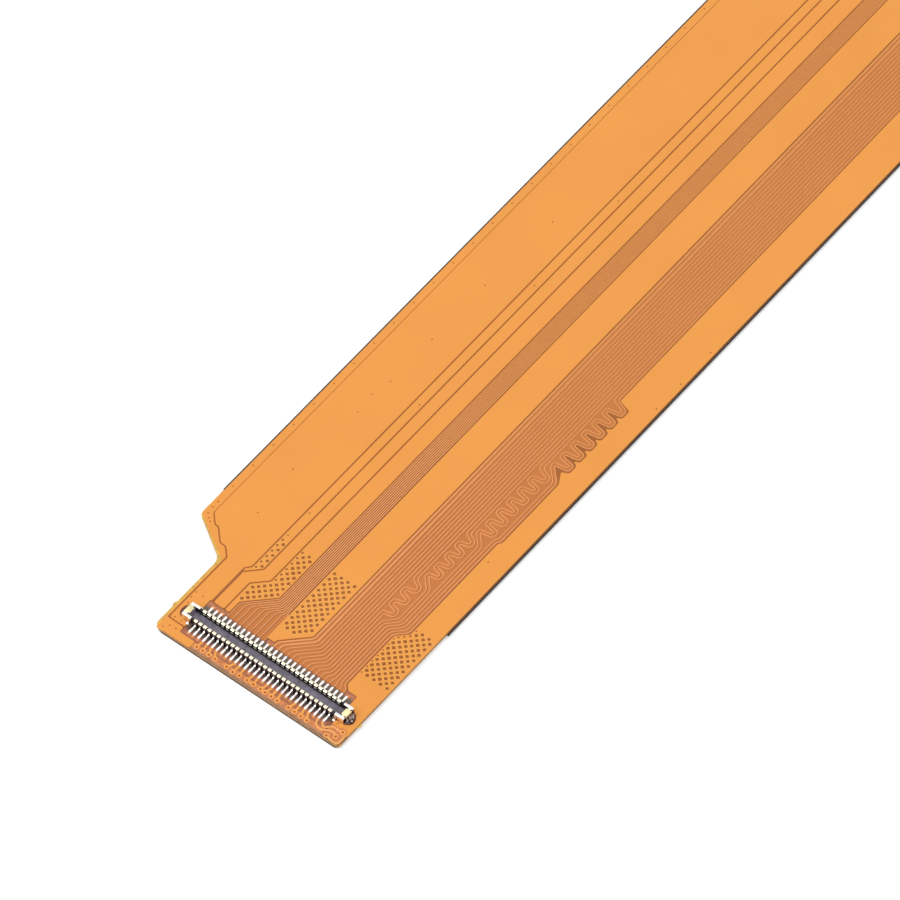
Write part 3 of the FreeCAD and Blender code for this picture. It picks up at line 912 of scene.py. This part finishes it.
# %% All openings
chance = random.Random(7)
openings = []
highlight_rings = []
for along_span, across_span, home_place, (row_start, column_start), small_sides in HATCH_PATCHES:
    home = [ring for ring in ground_rings if inside(place(*home_place), ring)][0]
    first_row = math.ceil((along_span[0] - row_start) / HATCH_STEP)
    last_row = math.floor((along_span[1] - row_start) / HATCH_STEP)
    first_column = math.ceil((across_span[0] - column_start) / HATCH_STEP)
    last_column = math.floor((across_span[1] - column_start) / HATCH_STEP)
    for row in range(first_row, last_row + 1):
        for column in range(first_column, last_column + 1):
            centre = Vector(place(row_start + row * HATCH_STEP, column_start + column * HATCH_STEP))
            if (row + column) % 2 or not inside(centre, home):
                continue
            gap, foot = nearest_side(centre, [home])
            size = min(DIAMOND_HALF, gap * 1.2 - DIAMOND_RIM) * chance.uniform(0.88, 1.0)
            if size < DIAMOND_LEAST:
                side_of_foot = 1 if foot.y < centre.y else -1
                if side_of_foot not in small_sides or gap < 0.005:
                    continue
                centre = foot + (centre - foot).normalized() * (DIAMOND_RIM + DIAMOND_LEAST)
                size = DIAMOND_LEAST
            opening = diamond(centre, size)
            highlight_ring_pair = [grown(opening, centre, HIGHLIGHT_RIM_WIDTH)[::-1], opening]
            openings += [opening, far_ring(opening)]
            if size > HIGHLIGHT_FROM_SIZE:
                highlight_rings += highlight_ring_pair + [far_ring(ring) for ring in highlight_ring_pair]
diamonds = len(openings)
hole_places = [place(*hole) for hole in STITCH_HOLES]
for hole in NECK_HOLES + TAB_HOLES + FIELD_HOLES:
    hole_places += [place(*hole, end) for end in ENDS]
for centre in hole_places:
    room = nearest_side(centre, ground_rings)[0]
    if room > 1.5 * HOLE_RADIUS and any(inside(centre, ring) for ring in ground_rings):
        openings.append(round_hole(centre, HOLE_RADIUS))
    else:
        print("no room for a hole at", [round(value, 2) for value in centre])
print("diamonds", diamonds, "holes", len(openings) - diamonds)

# %% Ground skin
GROUND_SHOULDER = 0.010


def join_all(pieces):
    """Joins pieces into the first of them."""
    bpy.ops.object.select_all(action="DESELECT")
    for piece in pieces:
        piece.select_set(True)
    bpy.context.view_layer.objects.active = pieces[0]
    bpy.ops.object.join()
    return bpy.context.object


areas = []
for ring in ground_rings:
    held = [hole for hole in openings if inside(hole[0], ring)]
    outline = soften(ring, 0.14, closed=True, steps=3)
    areas.append(sheet("ground_area", [outline] + held, LAMINATE_LOW, SKIN_TOP, GROUND_SHOULDER))
ground = join_all(areas)
ground.name = "ground_skin"
dress(ground, film_on_copper, "coverlay", "front_ground_areas")
# Painted highlight on the thin copper between the diamonds
film_on_mesh = film_material("film_on_mesh", tone(254, 186, 86), tone(250, 178, 78), 0.8, 0.32)
mesh_rims = sheet("mesh_rims", highlight_rings, SKIN_TOP - 0.006, SKIN_TOP + 0.002, 0.003)
dress(mesh_rims, film_on_mesh, "coverlay")

# %% [markdown]
# ## Tracks
# Each track shows as a thin light ridge in the film. Beside it, on the side away from the lamp, a low darker
# line of painted shade is laid. The lines come from the CAD tracks, so the ridges lie exactly over the
# copper, from one plug to the other.

# %% Track ridges
HEAVY_TRACKS = 2
NARROW_WIDTH = 0.065
FINE_WIDTH = 0.085
HEAVY_WIDTH = 0.15
TRACK_CROWN = 0.348
# Width and crown of the painted shade lines beside the tracks
SHADE_LINE_WIDTH = 0.05
SHADE_LINE_CROWN = 0.342


def beside(line, shift):
    """Line moved towards the straight edge."""
    return [(x, y - shift) for x, y in line]


narrow_soft = [soften(within_film(line), 0.25) for line in narrow_lines]
narrow = ridges("narrow_tracks", narrow_soft, NARROW_WIDTH, FIELD_TOP, TRACK_CROWN)
dress(narrow, film_on_narrow, "coverlay", "narrow_track_group")
wide_soft = [soften(within_film(line), 0.25) for line in wide_lines]
heavy = ridges("heavy_tracks", wide_soft[:HEAVY_TRACKS], HEAVY_WIDTH, FIELD_TOP, TRACK_CROWN)
dress(heavy, film_on_wide, "coverlay")
fine = ridges("fine_tracks", wide_soft[HEAVY_TRACKS:], FINE_WIDTH, FIELD_TOP, TRACK_CROWN)
dress(fine, film_on_wide, "coverlay", "wide_track_group")
# Painted shade: a darker line beside each track, on the side away from the lamp
shade_lines = [beside(line, NARROW_WIDTH / 2 + 0.012) for line in narrow_soft]
dress(ridges("narrow_dips", shade_lines, SHADE_LINE_WIDTH, FIELD_TOP, SHADE_LINE_CROWN), narrow_dip, "coverlay")
shade_lines = [beside(line, HEAVY_WIDTH / 2 + 0.015) for line in wide_soft[:HEAVY_TRACKS]]
shade_lines += [beside(line, FINE_WIDTH / 2 + 0.015) for line in wide_soft[HEAVY_TRACKS:]]
dress(ridges("wide_dips", shade_lines, SHADE_LINE_WIDTH, FIELD_TOP, SHADE_LINE_CROWN), wide_dip, "coverlay")


# %% [markdown]
# ## Rings and tails of copper at the tab's end
# Below the outer row, copper rings with a plated hole carry each signal to the back. Some stand alone,
# some are joined in pairs, and at the straight edge three tracks curl round each other. They lie on a
# reddish bed without ground copper. The rings are flat sheets, the tracks are wide ridges.

# %% Rings, their tracks and the bed below the outer row
RING_RADIUS = 0.19
RING_HOLE = 0.06
RING_RIM = 0.055
RING_FOOT = FIELD_TOP - 0.004
RING_TRACK_WIDTH = 0.19
CURL_WIDTH = 0.13
TAIL_TIP = -1.30
BED_EDGE = [(-2.235, 0.84), (-2.235, 13.55), (-0.80, 13.55), (-0.80, 12.20), (-1.62, 12.20), (-1.62, 0.84)]
# Each ring: its place along and across, and the column whose tail it serves
RINGS = [
    (-1.84, 1.15, 3), (-1.84, 1.66, 4), (-1.84, 2.19, 5), (-1.84, 2.73, 6),
    (-1.86, 3.74, 10), (-1.93, 4.33, 11), (-1.88, 4.86, 12), (-1.84, 5.50, 14),
    (-1.84, 6.05, 15), (-1.84, 6.66, 17), (-1.86, 7.07, 18), (-1.86, 7.60, 19),
    (-1.88, 8.13, 20), (-1.84, 9.07, 23), (-1.86, 9.60, 24), (-1.88, 10.15, 25),
    (-1.88, 10.68, 26),
]
JOINED = [((-1.84, 5.50), (-1.84, 6.05)), ((-1.84, 6.66), (-1.86, 7.07))]
EDGE_RINGS = [(-1.68, 13.0), (-1.13, 13.18), (-2.0, 12.45)]
CURLS = [
    [
        (-1.22, 11.20), (-1.50, 11.22), (-1.78, 11.40), (-1.90, 11.84),
        (-1.54, 12.35), (-1.50, 12.76), (-1.66, 12.90),
    ], [
        (-1.22, 11.60), (-1.42, 11.63), (-1.58, 11.82), (-1.50, 12.04),
        (-1.15, 12.34), (-1.17, 12.87), (-1.15, 13.05),
    ],
    [(-2.04, 12.58), (-2.14, 12.95), (-2.15, 13.35), (-1.95, 13.50), (-1.60, 13.50), (-1.10, 13.48)],
]


def stopped(start, centre):
    """Point where a track from start to a ring's centre meets the ring."""
    run = Vector(centre) - Vector(start)
    return tuple(Vector(centre) - run.normalized() * (RING_RADIUS - 0.03))


print("rings at each end:", len(RINGS) + len(EDGE_RINGS), "curls:", len(CURLS))

# %% Finishes of rings and tails
film_on_ring = film_material("film_on_ring", tone(238, 146, 60), tone(230, 138, 54), 0.8, 0.38)
film_on_rim = film_material("film_on_rim", tone(255, 186, 104), tone(250, 176, 92), 0.8, 0.34)
hole_dark = film_material("hole_dark", tone(124, 66, 26), tone(104, 52, 20), 0.8, 0.4)
film_on_neck = film_material("film_on_neck", tone(250, 170, 80), tone(244, 162, 74), 0.8, 0.36)
print("ring finishes made")

# %% Rings and tails at both ends
for end in ENDS:
    bed_outline = anticlockwise(places(BED_EDGE, end))
    dress(sheet("end_bed_" + end, [bed_outline], FIELD_LOW, BED_TOP), end_bed_film, "coverlay")
    tracks = []
    for along, across, column in RINGS:
        path = [(TAIL_TIP + 0.1, column * PITCH), (TAIL_TIP - 0.06, column * PITCH)]
        path.append(stopped(path[-1], (along, across)))
        tracks.append(places(path, end))
    for first, last in JOINED:
        tracks.append(places([stopped(last, first), stopped(first, last)], end))
    rings = []
    rims = []
    holes = []
    for centre in places([ring[:2] for ring in RINGS] + EDGE_RINGS, end):
        outer_ring = round_hole(centre, RING_RADIUS, 16)[::-1]
        rings += [outer_ring, round_hole(centre, RING_HOLE, 12)]
        rims += [outer_ring, round_hole(centre, RING_RADIUS - RING_RIM, 16)]
        holes.append(round_hole(centre, RING_HOLE + 0.02, 12)[::-1])
    pads = sheet("copper_rings_" + end, rings, LAMINATE_LOW + 0.02, SKIN_TOP - 0.002, 0.010)
    dress(pads, film_on_ring, "coverlay")
    bright = sheet("ring_rims_" + end, rims, SKIN_TOP - 0.006, SKIN_TOP + 0.001, 0.003)
    dress(bright, film_on_rim, "coverlay")
    dark = sheet("ring_holes_" + end, holes, BED_TOP - 0.01, BED_TOP + 0.003)
    dress(dark, hole_dark, "coverlay")
    tracks = [soften(track, 0.3) for track in tracks]
    necks = ridges("ring_tracks_" + end, tracks, RING_TRACK_WIDTH, RING_FOOT, SKIN_TOP - 0.001)
    dress(necks, film_on_neck, "coverlay")
    curls = [soften(places(curl, end), 0.3) for curl in CURLS]
    dress(ridges("curls_" + end, curls, CURL_WIDTH, RING_FOOT, SKIN_TOP), film_on_rim, "coverlay")

# %% [markdown]
# ## Contacts
# Each contact is a strip of plated bronze. It bulges out of the wall in the groove as a lip, lies over the
# wall as a broad cream tab, drops down the outside as a narrow leg and runs out as a soldered tail. Strip
# and lip are each drawn from one edge that is extruded along a line and widened or narrowed on the way,
# then given their sheet thickness. One contact is made, and the four rows are copies of it in an array.


# %% Metals
def plated_metal(name, high_color, low_color, change, roughness, metallic=1.0):
    """Plated metal that changes from one tone to another over a height in millimetres."""
    material = new_material(name, {"Metallic": metallic})
    tree = material.node_tree
    where = add_node(tree, "TexCoord", {}).outputs["Object"]
    split = add_node(tree, "SeparateXYZ", {0: where})
    height = range_node(tree, split.outputs["Z"], change[0] * MM, change[1] * MM)
    plating = mix_node(tree, height, low_color, high_color)
    dulled = range_node(tree, noise_node(tree, where, 5200, 2), 0.56, 0.74, 1.0, 0.55)
    tarnish = mix_node(tree, 1.0, plating, dulled, blend_type="MULTIPLY")
    grain = noise_node(tree, where, 9000, 2)
    rough = range_node(tree, grain, 0.0, 1.0, roughness - 0.06, roughness + 0.10)
    feed(material, tarnish, rough, grain, 0.000004, 0.6)
    return material


contact_finish = plated_metal("contact_plating", tone(252, 242, 212), tone(250, 247, 244), (0.80, 0.84), 0.24)
joint_finish = plated_metal("joint_solder", tone(246, 244, 242), tone(214, 208, 204), (0.33, 0.37), 0.16)
# The lips get a darker, duller copy of the contacts' plating: painted shade of the groove, lighter towards
# their tops
lip_shaded_finish = plated_metal("lip_plating", tone(176, 176, 158), tone(150, 150, 134), (0.56, 0.64), 0.30, 0.25)
print("metals made")

# %% One contact, in millimetres
PAD_TOP = 0.32
SHEET = 0.07
# Each step along the contact: out from the plug's centre line, height above the pads, width
CONTACT_LINE = [
    (0.402, 0.455, 0.20), (0.404, 0.500, 0.26), (0.425, 0.515, 0.28), (0.535, 0.515, 0.28),
    (0.562, 0.500, 0.25), (0.575, 0.455, 0.14), (0.575, 0.380, 0.10), (0.575, 0.150, 0.10),
    (0.592, 0.085, 0.105), (0.640, 0.048, 0.11), (0.760, 0.037, 0.105), (0.860, 0.036, 0.125),
    (0.960, 0.037, 0.155), (1.130, 0.037, 0.175), (1.240, 0.036, 0.150), (1.300, 0.034, 0.085),
]
# The same for the lip that the contact shows inside the groove
LIP_LINE = [
    (0.400, 0.236, 0.19), (0.384, 0.244, 0.21), (0.378, 0.262, 0.22), (0.378, 0.282, 0.22),
    (0.384, 0.300, 0.21), (0.400, 0.308, 0.19),
]


print("steps along a contact:", len(CONTACT_LINE), "along its lip:", len(LIP_LINE))


# %% Forming a strip of sheet metal
def formed_strip(name, line):
    """Strip of sheet metal along a line of (out, height, width), in millimetres."""
    bpy.ops.object.select_all(action="DESELECT")
    bpy.ops.mesh.primitive_plane_add(size=1, location=(0, 0, 0))
    piece = bpy.context.object
    piece.name = name
    bpy.ops.object.mode_set(mode="EDIT")
    bpy.ops.mesh.select_all(action="DESELECT")
    strip = bmesh.from_edit_mesh(piece.data)
    for corner in strip.verts:
        corner.select = corner.co.x > 0
    strip.select_flush(True)
    bpy.ops.mesh.delete(type="VERT")
    bpy.ops.mesh.select_all(action="SELECT")
    out, height, width = line[0]
    bpy.ops.transform.translate(value=(out + 0.5, 0, height))
    bpy.ops.transform.resize(value=(1, width, 1), center_override=(out, 0, height))
    for (out0, height0, width0), (out, height, width) in zip(line, line[1:]):
        step = {"value": (out - out0, 0, height - height0)}
        bpy.ops.mesh.extrude_edges_move(TRANSFORM_OT_translate=step)
        bpy.ops.transform.resize(value=(1, width / width0, 1), center_override=(out, 0, height))
    bpy.ops.object.mode_set(mode="OBJECT")
    thick = piece.modifiers.new("sheet", "SOLIDIFY")
    thick.thickness = SHEET
    thick.offset = 0
    bpy.ops.object.modifier_apply(modifier="sheet")
    face_outwards()
    bpy.ops.object.shade_smooth_by_angle(angle=math.radians(40))
    print(name, "faces", len(piece.data.polygons), "size", [round(value, 3) for value in piece.dimensions])
    return piece


contact = formed_strip("contact", CONTACT_LINE)
lip = formed_strip("lip", LIP_LINE)

# %% One solder joint round a tail, in millimetres
bpy.ops.object.select_all(action="DESELECT")
bpy.ops.mesh.primitive_uv_sphere_add(segments=8, ring_count=6, radius=1, location=(0, 0, 0))
joint = bpy.context.object
joint.name = "tail_joint"
bpy.ops.object.mode_set(mode="EDIT")
bpy.ops.mesh.select_all(action="SELECT")
bpy.ops.transform.resize(value=(0.27, 0.096, 0.046))
bpy.ops.transform.translate(value=(1.070, 0, 0.004))
bpy.ops.mesh.bisect(plane_co=(0, 0, -0.012), plane_no=(0, 0, 1), clear_inner=True, use_fill=True)
bpy.ops.object.mode_set(mode="OBJECT")
bpy.ops.object.shade_smooth_by_angle(angle=math.radians(60))
print("joint faces", len(joint.data.polygons))


# %% Rows of contacts and joints
def row_of(pattern, name, end, outward):
    """A row of thirty copies of a pattern in millimetres, placed at one plug as one piece in metres."""
    selected_only(pattern)
    bpy.ops.object.duplicate(linked=False)
    row = bpy.context.object
    row.name = name
    row.rotation_euler.z = 0 if outward > 0 else math.pi
    settle()
    array = row.modifiers.new("columns", "ARRAY")
    array.use_relative_offset = False
    array.use_constant_offset = True
    array.constant_offset_displace = (0, -PITCH, 0)
    array.count = COLUMNS
    bpy.ops.object.modifier_apply(modifier="columns")
    x, y = place(0, 0, end)
    row.scale = (MM, MM, MM)
    row.location = (x * MM, y * MM, PAD_TOP * MM)
    settle()
    return row


for end in ENDS:
    for row_name, side_sign in (("inner", 1), ("outer", -1)):
        outward = side_sign if end == "a" else -side_sign
        contacts = row_of(contact, "contacts_%s_%s" % (row_name, end), end, outward)
        dress(contacts, contact_finish, "gold_plate", "plug_%s_%s_contacts" % (end, row_name))
        joints = row_of(joint, "joints_%s_%s" % (row_name, end), end, outward)
        dress(joints, joint_finish, "solder")
        lips = row_of(lip, "lips_%s_%s" % (row_name, end), end, outward)
        dress(lips, lip_shaded_finish, "gold_plate")
bpy.data.objects.remove(contact)
bpy.data.objects.remove(lip)
bpy.data.objects.remove(joint)

# %% [markdown]
# ## Housing
# The moulded housing keeps its CAD form, but real edges are never sharp. A copy of the CAD mesh is
# merged, its flat faces are joined again, and a bevel rounds the edges.


# %% Rounded copy of a CAD node
SHARP_DEGREES = 40


def round_edges(piece, radius, segments, smooth_degrees):
    """Rounds the sharp edges of a piece with a bevel and smooths its shading."""
    soft = piece.modifiers.new("edges", "BEVEL")
    soft.width = radius
    soft.segments = segments
    soft.limit_method = "ANGLE"
    soft.angle_limit = math.radians(SHARP_DEGREES)
    bpy.ops.object.modifier_apply(modifier="edges")
    bpy.ops.object.shade_smooth_by_angle(angle=math.radians(smooth_degrees))


def rounded_copy(node, name, radius):
    """Copy of a CAD node with rounded edges, in metres."""
    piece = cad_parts[node].copy()
    piece.data = piece.data.copy()
    piece.name = name
    piece.parent = None
    piece.matrix_world = Matrix.Identity(4)
    for key in list(piece.keys()):
        del piece[key]
    bpy.context.collection.objects.link(piece)
    selected_only(piece)
    piece.scale = (1 / MM, 1 / MM, 1 / MM)
    settle()
    bpy.ops.object.mode_set(mode="EDIT")
    bpy.ops.mesh.select_all(action="SELECT")
    bpy.ops.mesh.remove_doubles(threshold=MERGE_WITHIN)
    bpy.ops.mesh.dissolve_limited(angle_limit=math.radians(1))
    bpy.ops.mesh.normals_make_consistent(inside=False)
    bpy.ops.object.mode_set(mode="OBJECT")
    round_edges(piece, radius, 1, 35)
    piece.scale = (MM, MM, MM)
    settle()
    return piece


print("edges sharper than", SHARP_DEGREES, "degrees are rounded")

# %% Housings
HOUSING_RADIUS = 0.012

# The groove is painted lighter, as the sky lights it; outside it the housing keeps its dark colour
housing_finish = zone_material(
    "housing_polymer", tone(118, 111, 126), tone(34, 28, 28), (0.29, 0.345), 0.03, 0.24, mottle=1.0
)
for end in ENDS:
    shell = rounded_copy("plug_%s_housing" % end, "housing_" + end, HOUSING_RADIUS)
    dress(shell, housing_finish, "housing", "plug_%s_housing" % end)

# %% [markdown]
# ## Hold-downs
# A folded metal clip sits over each end of the housing: a plate on the end wall, an arm along each long
# wall, a flange down the outer end, and two curled feet that are soldered to the film. The CAD model
# has it as sharp blocks. Here it is built again from blocks with rounded edges in the same places, with
# notches beside the plate, and formed feet. One clip of each side is made, the far end gets mirrored
# copies.


# %% Blocks and lumps, in millimetres
def bar(along, across, heights, radius):
    """Block with round edges between places at end a, from one height above the pads to another."""
    (x0, y0), (x1, y1) = place(along[0], across[0]), place(along[1], across[1])
    middle = (x0 + x1) / 2, (y0 + y1) / 2, PAD_TOP + sum(heights) / 2
    bpy.ops.object.select_all(action="DESELECT")
    bpy.ops.mesh.primitive_cube_add(size=1, location=middle)
    piece = bpy.context.object
    piece.scale = (abs(x1 - x0), abs(y1 - y0), heights[1] - heights[0])
    settle()
    round_edges(piece, radius, 3, 50)
    return piece


def drop(along, across, height, radii):
    """Rounded lump round a place at end a."""
    x, y = place(along, across)
    bpy.ops.object.select_all(action="DESELECT")
    bpy.ops.mesh.primitive_ico_sphere_add(subdivisions=3, radius=1, location=(x, y, PAD_TOP + height))
    piece = bpy.context.object
    piece.scale = radii
    settle()
    bpy.ops.object.shade_smooth_by_angle(angle=math.radians(60))
    return piece


print("blocks are measured from the pads, at %.2f mm" % PAD_TOP)


# %% Joining and mirroring
def joined(name, pieces):
    """One piece in metres from pieces in millimetres."""
    whole = join_all(pieces)
    whole.name = name
    whole.scale = (MM, MM, MM)
    settle()
    return whole


def mirrored(piece, name):
    """Copy of a piece for the far end of the cable."""
    selected_only(piece)
    bpy.ops.object.duplicate(linked=False)
    far = bpy.context.object
    far.name = name
    far.scale = (-1, 1, 1)
    settle()
    face_outwards()
    return far


print("block helpers ready")

# %% Clips
PLUG_SIDES = {"left": (-1.2, 1), "right": (12.8, -1)}
# Where the bridge between plate and arms lies, inwards from the clip's outer end
BRIDGES = {"left": (0.0, 0.34), "right": (0.14, 0.34)}
FOOT_LINE = [
    (0.560, 0.49, 0.14), (0.600, 0.42, 0.14), (0.640, 0.28, 0.15), (0.685, 0.15, 0.16),
    (0.740, 0.07, 0.17), (0.800, 0.038, 0.17), (0.850, 0.036, 0.11),
]
# The feet stand this far inwards from the clip's outer end
FOOT_PLACES = {"left": 0.66, "right": 0.70}

clip_finish = zone_material(
    "clip_plating", tone(244, 228, 178), tone(250, 243, 236), (0.27, 0.42), 0.05, 0.16, metallic=1.0
)
for side_name, (outer, inward) in PLUG_SIDES.items():
    def inwards(first, last):
        """Across values of two distances inwards from the clip's outer end."""
        return outer + inward * first, outer + inward * last

    parts = [
        bar((-0.27, 0.27), inwards(0.0, 0.46), (0.455, 0.545), 0.040),
        bar((-0.42, 0.42), inwards(*BRIDGES[side_name]), (0.450, 0.525), 0.020),
        bar((-0.33, 0.33), inwards(0.0, 0.07), (0.0, 0.50), 0.015),
    ]
    for row in (-1, 1):
        parts.append(bar((row * 0.385, row * 0.61), inwards(0.02, 0.80), (0.455, 0.55), 0.040))
        parts.append(bar((row * 0.545, row * 0.61), inwards(0.03, 0.79), (0.0, 0.51), 0.015))
        foot = formed_strip("foot", FOOT_LINE)
        x, y = place(0, inwards(0, FOOT_PLACES[side_name])[1])
        foot.rotation_euler.z = 0 if row > 0 else math.pi
        foot.location = (x, y, PAD_TOP)
        settle()
        parts.append(foot)
    clip = joined("clip_%s_a" % side_name, parts)
    dress(clip, clip_finish, "tin_plate", "plug_a_%s_hold_down" % side_name)
    far_clip = mirrored(clip, "clip_%s_b" % side_name)
    dress(far_clip, clip_finish, "tin_plate", "plug_b_%s_hold_down" % side_name)

# %% [markdown]
# ## Solder, flux and painted shade
# The left clip has a small fillet at its end, the right one a lumpy dark mound with bright specks.
# Lumps are drops that run into each other. A thin brown skin round the clips and a dark one beside the tails,
# drawn as flat sheets just above the pads and the core, are flux from the solder with painted shade laid in,
# darkest next to the housing and the clips. A low brown rim lies along the film's opening.

# %% Solder
# Each lump: place along and across, height, and radii along, across and up
LUMPS = [
    (0.00, -1.22, 0.02, 0.30, 0.10, 0.14), (0.24, -1.24, 0.01, 0.16, 0.09, 0.09),
    (-0.26, -1.23, 0.01, 0.14, 0.09, 0.10), (-0.68, -0.62, 0.02, 0.08, 0.08, 0.07),
    (0.30, 12.88, 0.04, 0.20, 0.15, 0.22), (0.02, 12.90, 0.05, 0.22, 0.17, 0.28),
    (-0.28, 12.88, 0.04, 0.20, 0.15, 0.24), (0.14, 13.05, 0.02, 0.14, 0.12, 0.13),
    (-0.13, 13.08, 0.02, 0.15, 0.11, 0.15), (-0.36, 13.04, 0.02, 0.12, 0.12, 0.12),
    (-0.47, 12.88, 0.01, 0.10, 0.11, 0.12), (0.40, 13.00, 0.00, 0.10, 0.10, 0.07),
]

# Two small bright specks on the mound: place along and across, height and radius
SPECKS = [(0.20, 12.99, 0.13, 0.065), (-0.10, 13.12, 0.10, 0.065)]

solder_finish = plated_metal("solder_mound", tone(150, 134, 134), tone(86, 68, 68), (0.36, 0.56), 0.14)
mound = joined("solder_a", [drop(*lump[:3], lump[3:]) for lump in LUMPS])
selected_only(mound)
bpy.ops.object.mode_set(mode="EDIT")
bpy.ops.mesh.select_all(action="SELECT")
cut = (0, 0, PAD_TOP * MM - 0.000004)
bpy.ops.mesh.bisect(plane_co=cut, plane_no=(0, 0, 1), clear_inner=True, use_fill=True)
bpy.ops.object.mode_set(mode="OBJECT")
dress(mound, solder_finish, "solder", "plug_a_solder")
dress(mirrored(mound, "solder_b"), solder_finish, "solder", "plug_b_solder")
specks = joined("solder_specks_a", [drop(*speck[:3], (speck[3],) * 3) for speck in SPECKS])
dress(specks, joint_finish, "solder")
dress(mirrored(specks, "solder_specks_b"), joint_finish, "solder")

# %% Flux and painted shade
CORE_TOP = 0.30
OPENING_RIM_WIDTH = 0.10
TAIL_FLUX_AND_SHADE = (-0.50, 12.10)
# Each skin of flux with painted shade beside the tails: its span along, and its finish
FLUX_AND_SHADE_SKINS = {"outer": ((-0.52, -1.56), flux_outer), "inner": ((0.52, 1.66), flux_inner)}
LEFT_OPENING = REDRAWN[(-0.71, -1.44)] + REDRAWN[(0.71, -1.44)]
RIGHT_OPENING = REDRAWN[(0.71, 13.32)] + REDRAWN[(-0.71, 13.32)]
CLIP_FLUX_AND_SHADE = [
    [(-0.60, -0.57)] + LEFT_OPENING + [(0.60, -0.57)],
    [(0.60, 12.17)] + RIGHT_OPENING + [(-0.60, 12.17)],
]
RIMS = [
    [(-0.60, -0.75)] + LEFT_OPENING + [(0.60, -0.90)],
    [(0.60, 12.4)] + RIGHT_OPENING + [(-0.60, 12.2)],
]

# A darker brown rim along the film's opening
rim_finish = film_material("flux_rim", tone(168, 92, 52), tone(120, 60, 32), 0.9, 0.2)
for end in ENDS:
    # Skins of flux with painted shade beside the tails and round the clips
    for name, (span, finish) in FLUX_AND_SHADE_SKINS.items():
        spot = rectangle(span, TAIL_FLUX_AND_SHADE, end)
        skin = sheet("flux_%s_%s" % (name, end), [spot], CORE_TOP - 0.003, CORE_TOP + 0.006)
        dress(skin, finish, "polyimide")
    rings = [soften(anticlockwise(places(shape, end)), 0.15, closed=True) for shape in CLIP_FLUX_AND_SHADE]
    skin = sheet("flux_clips_" + end, rings, PAD_TOP - 0.003, PAD_TOP + 0.006)
    dress(skin, flux_clip, "polyimide")
    lines = [soften(places(line, end), 0.3) for line in RIMS]
    rims = ridges("flux_rims_" + end, lines, OPENING_RIM_WIDTH, SKIN_TOP - 0.02, SKIN_TOP + 0.008)
    dress(rims, rim_finish, "polyimide")

# %% [markdown]
# ## Finishes of the CAD nodes that stay
# The laminate's lower layers, the pads and the stiffeners keep their CAD forms here and get a finish
# each.

# %% Plain layers
shield_finish = film_material("shield_black", tone(66, 60, 58), tone(84, 76, 74), 0.9, 0.34)
stiffener_finish = film_material("stiffener_laminate", tone(96, 82, 66), tone(66, 56, 50), 0.9, 0.5)
back_film = film_material("back_film", tone(214, 138, 62), tone(200, 124, 54), 0.8, 0.38)
copper_finish = film_material("copper_foil", tone(214, 142, 98), tone(196, 122, 80), 0.8, 0.30)

FINISHES = {
    "shield_film": shield_finish,
    "back_coverlay": back_film,
    "back_ground_plane": copper_finish,
    "core_film": core_finish,
    "solder_pads": pad_finish,
    "stiffener_a": stiffener_finish,
    "stiffener_b": stiffener_finish,
}
for name, finish in FINISHES.items():
    for material_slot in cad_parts[name].material_slots:
        material_slot.material = finish
print("CAD nodes with a finish:", len(FINISHES))
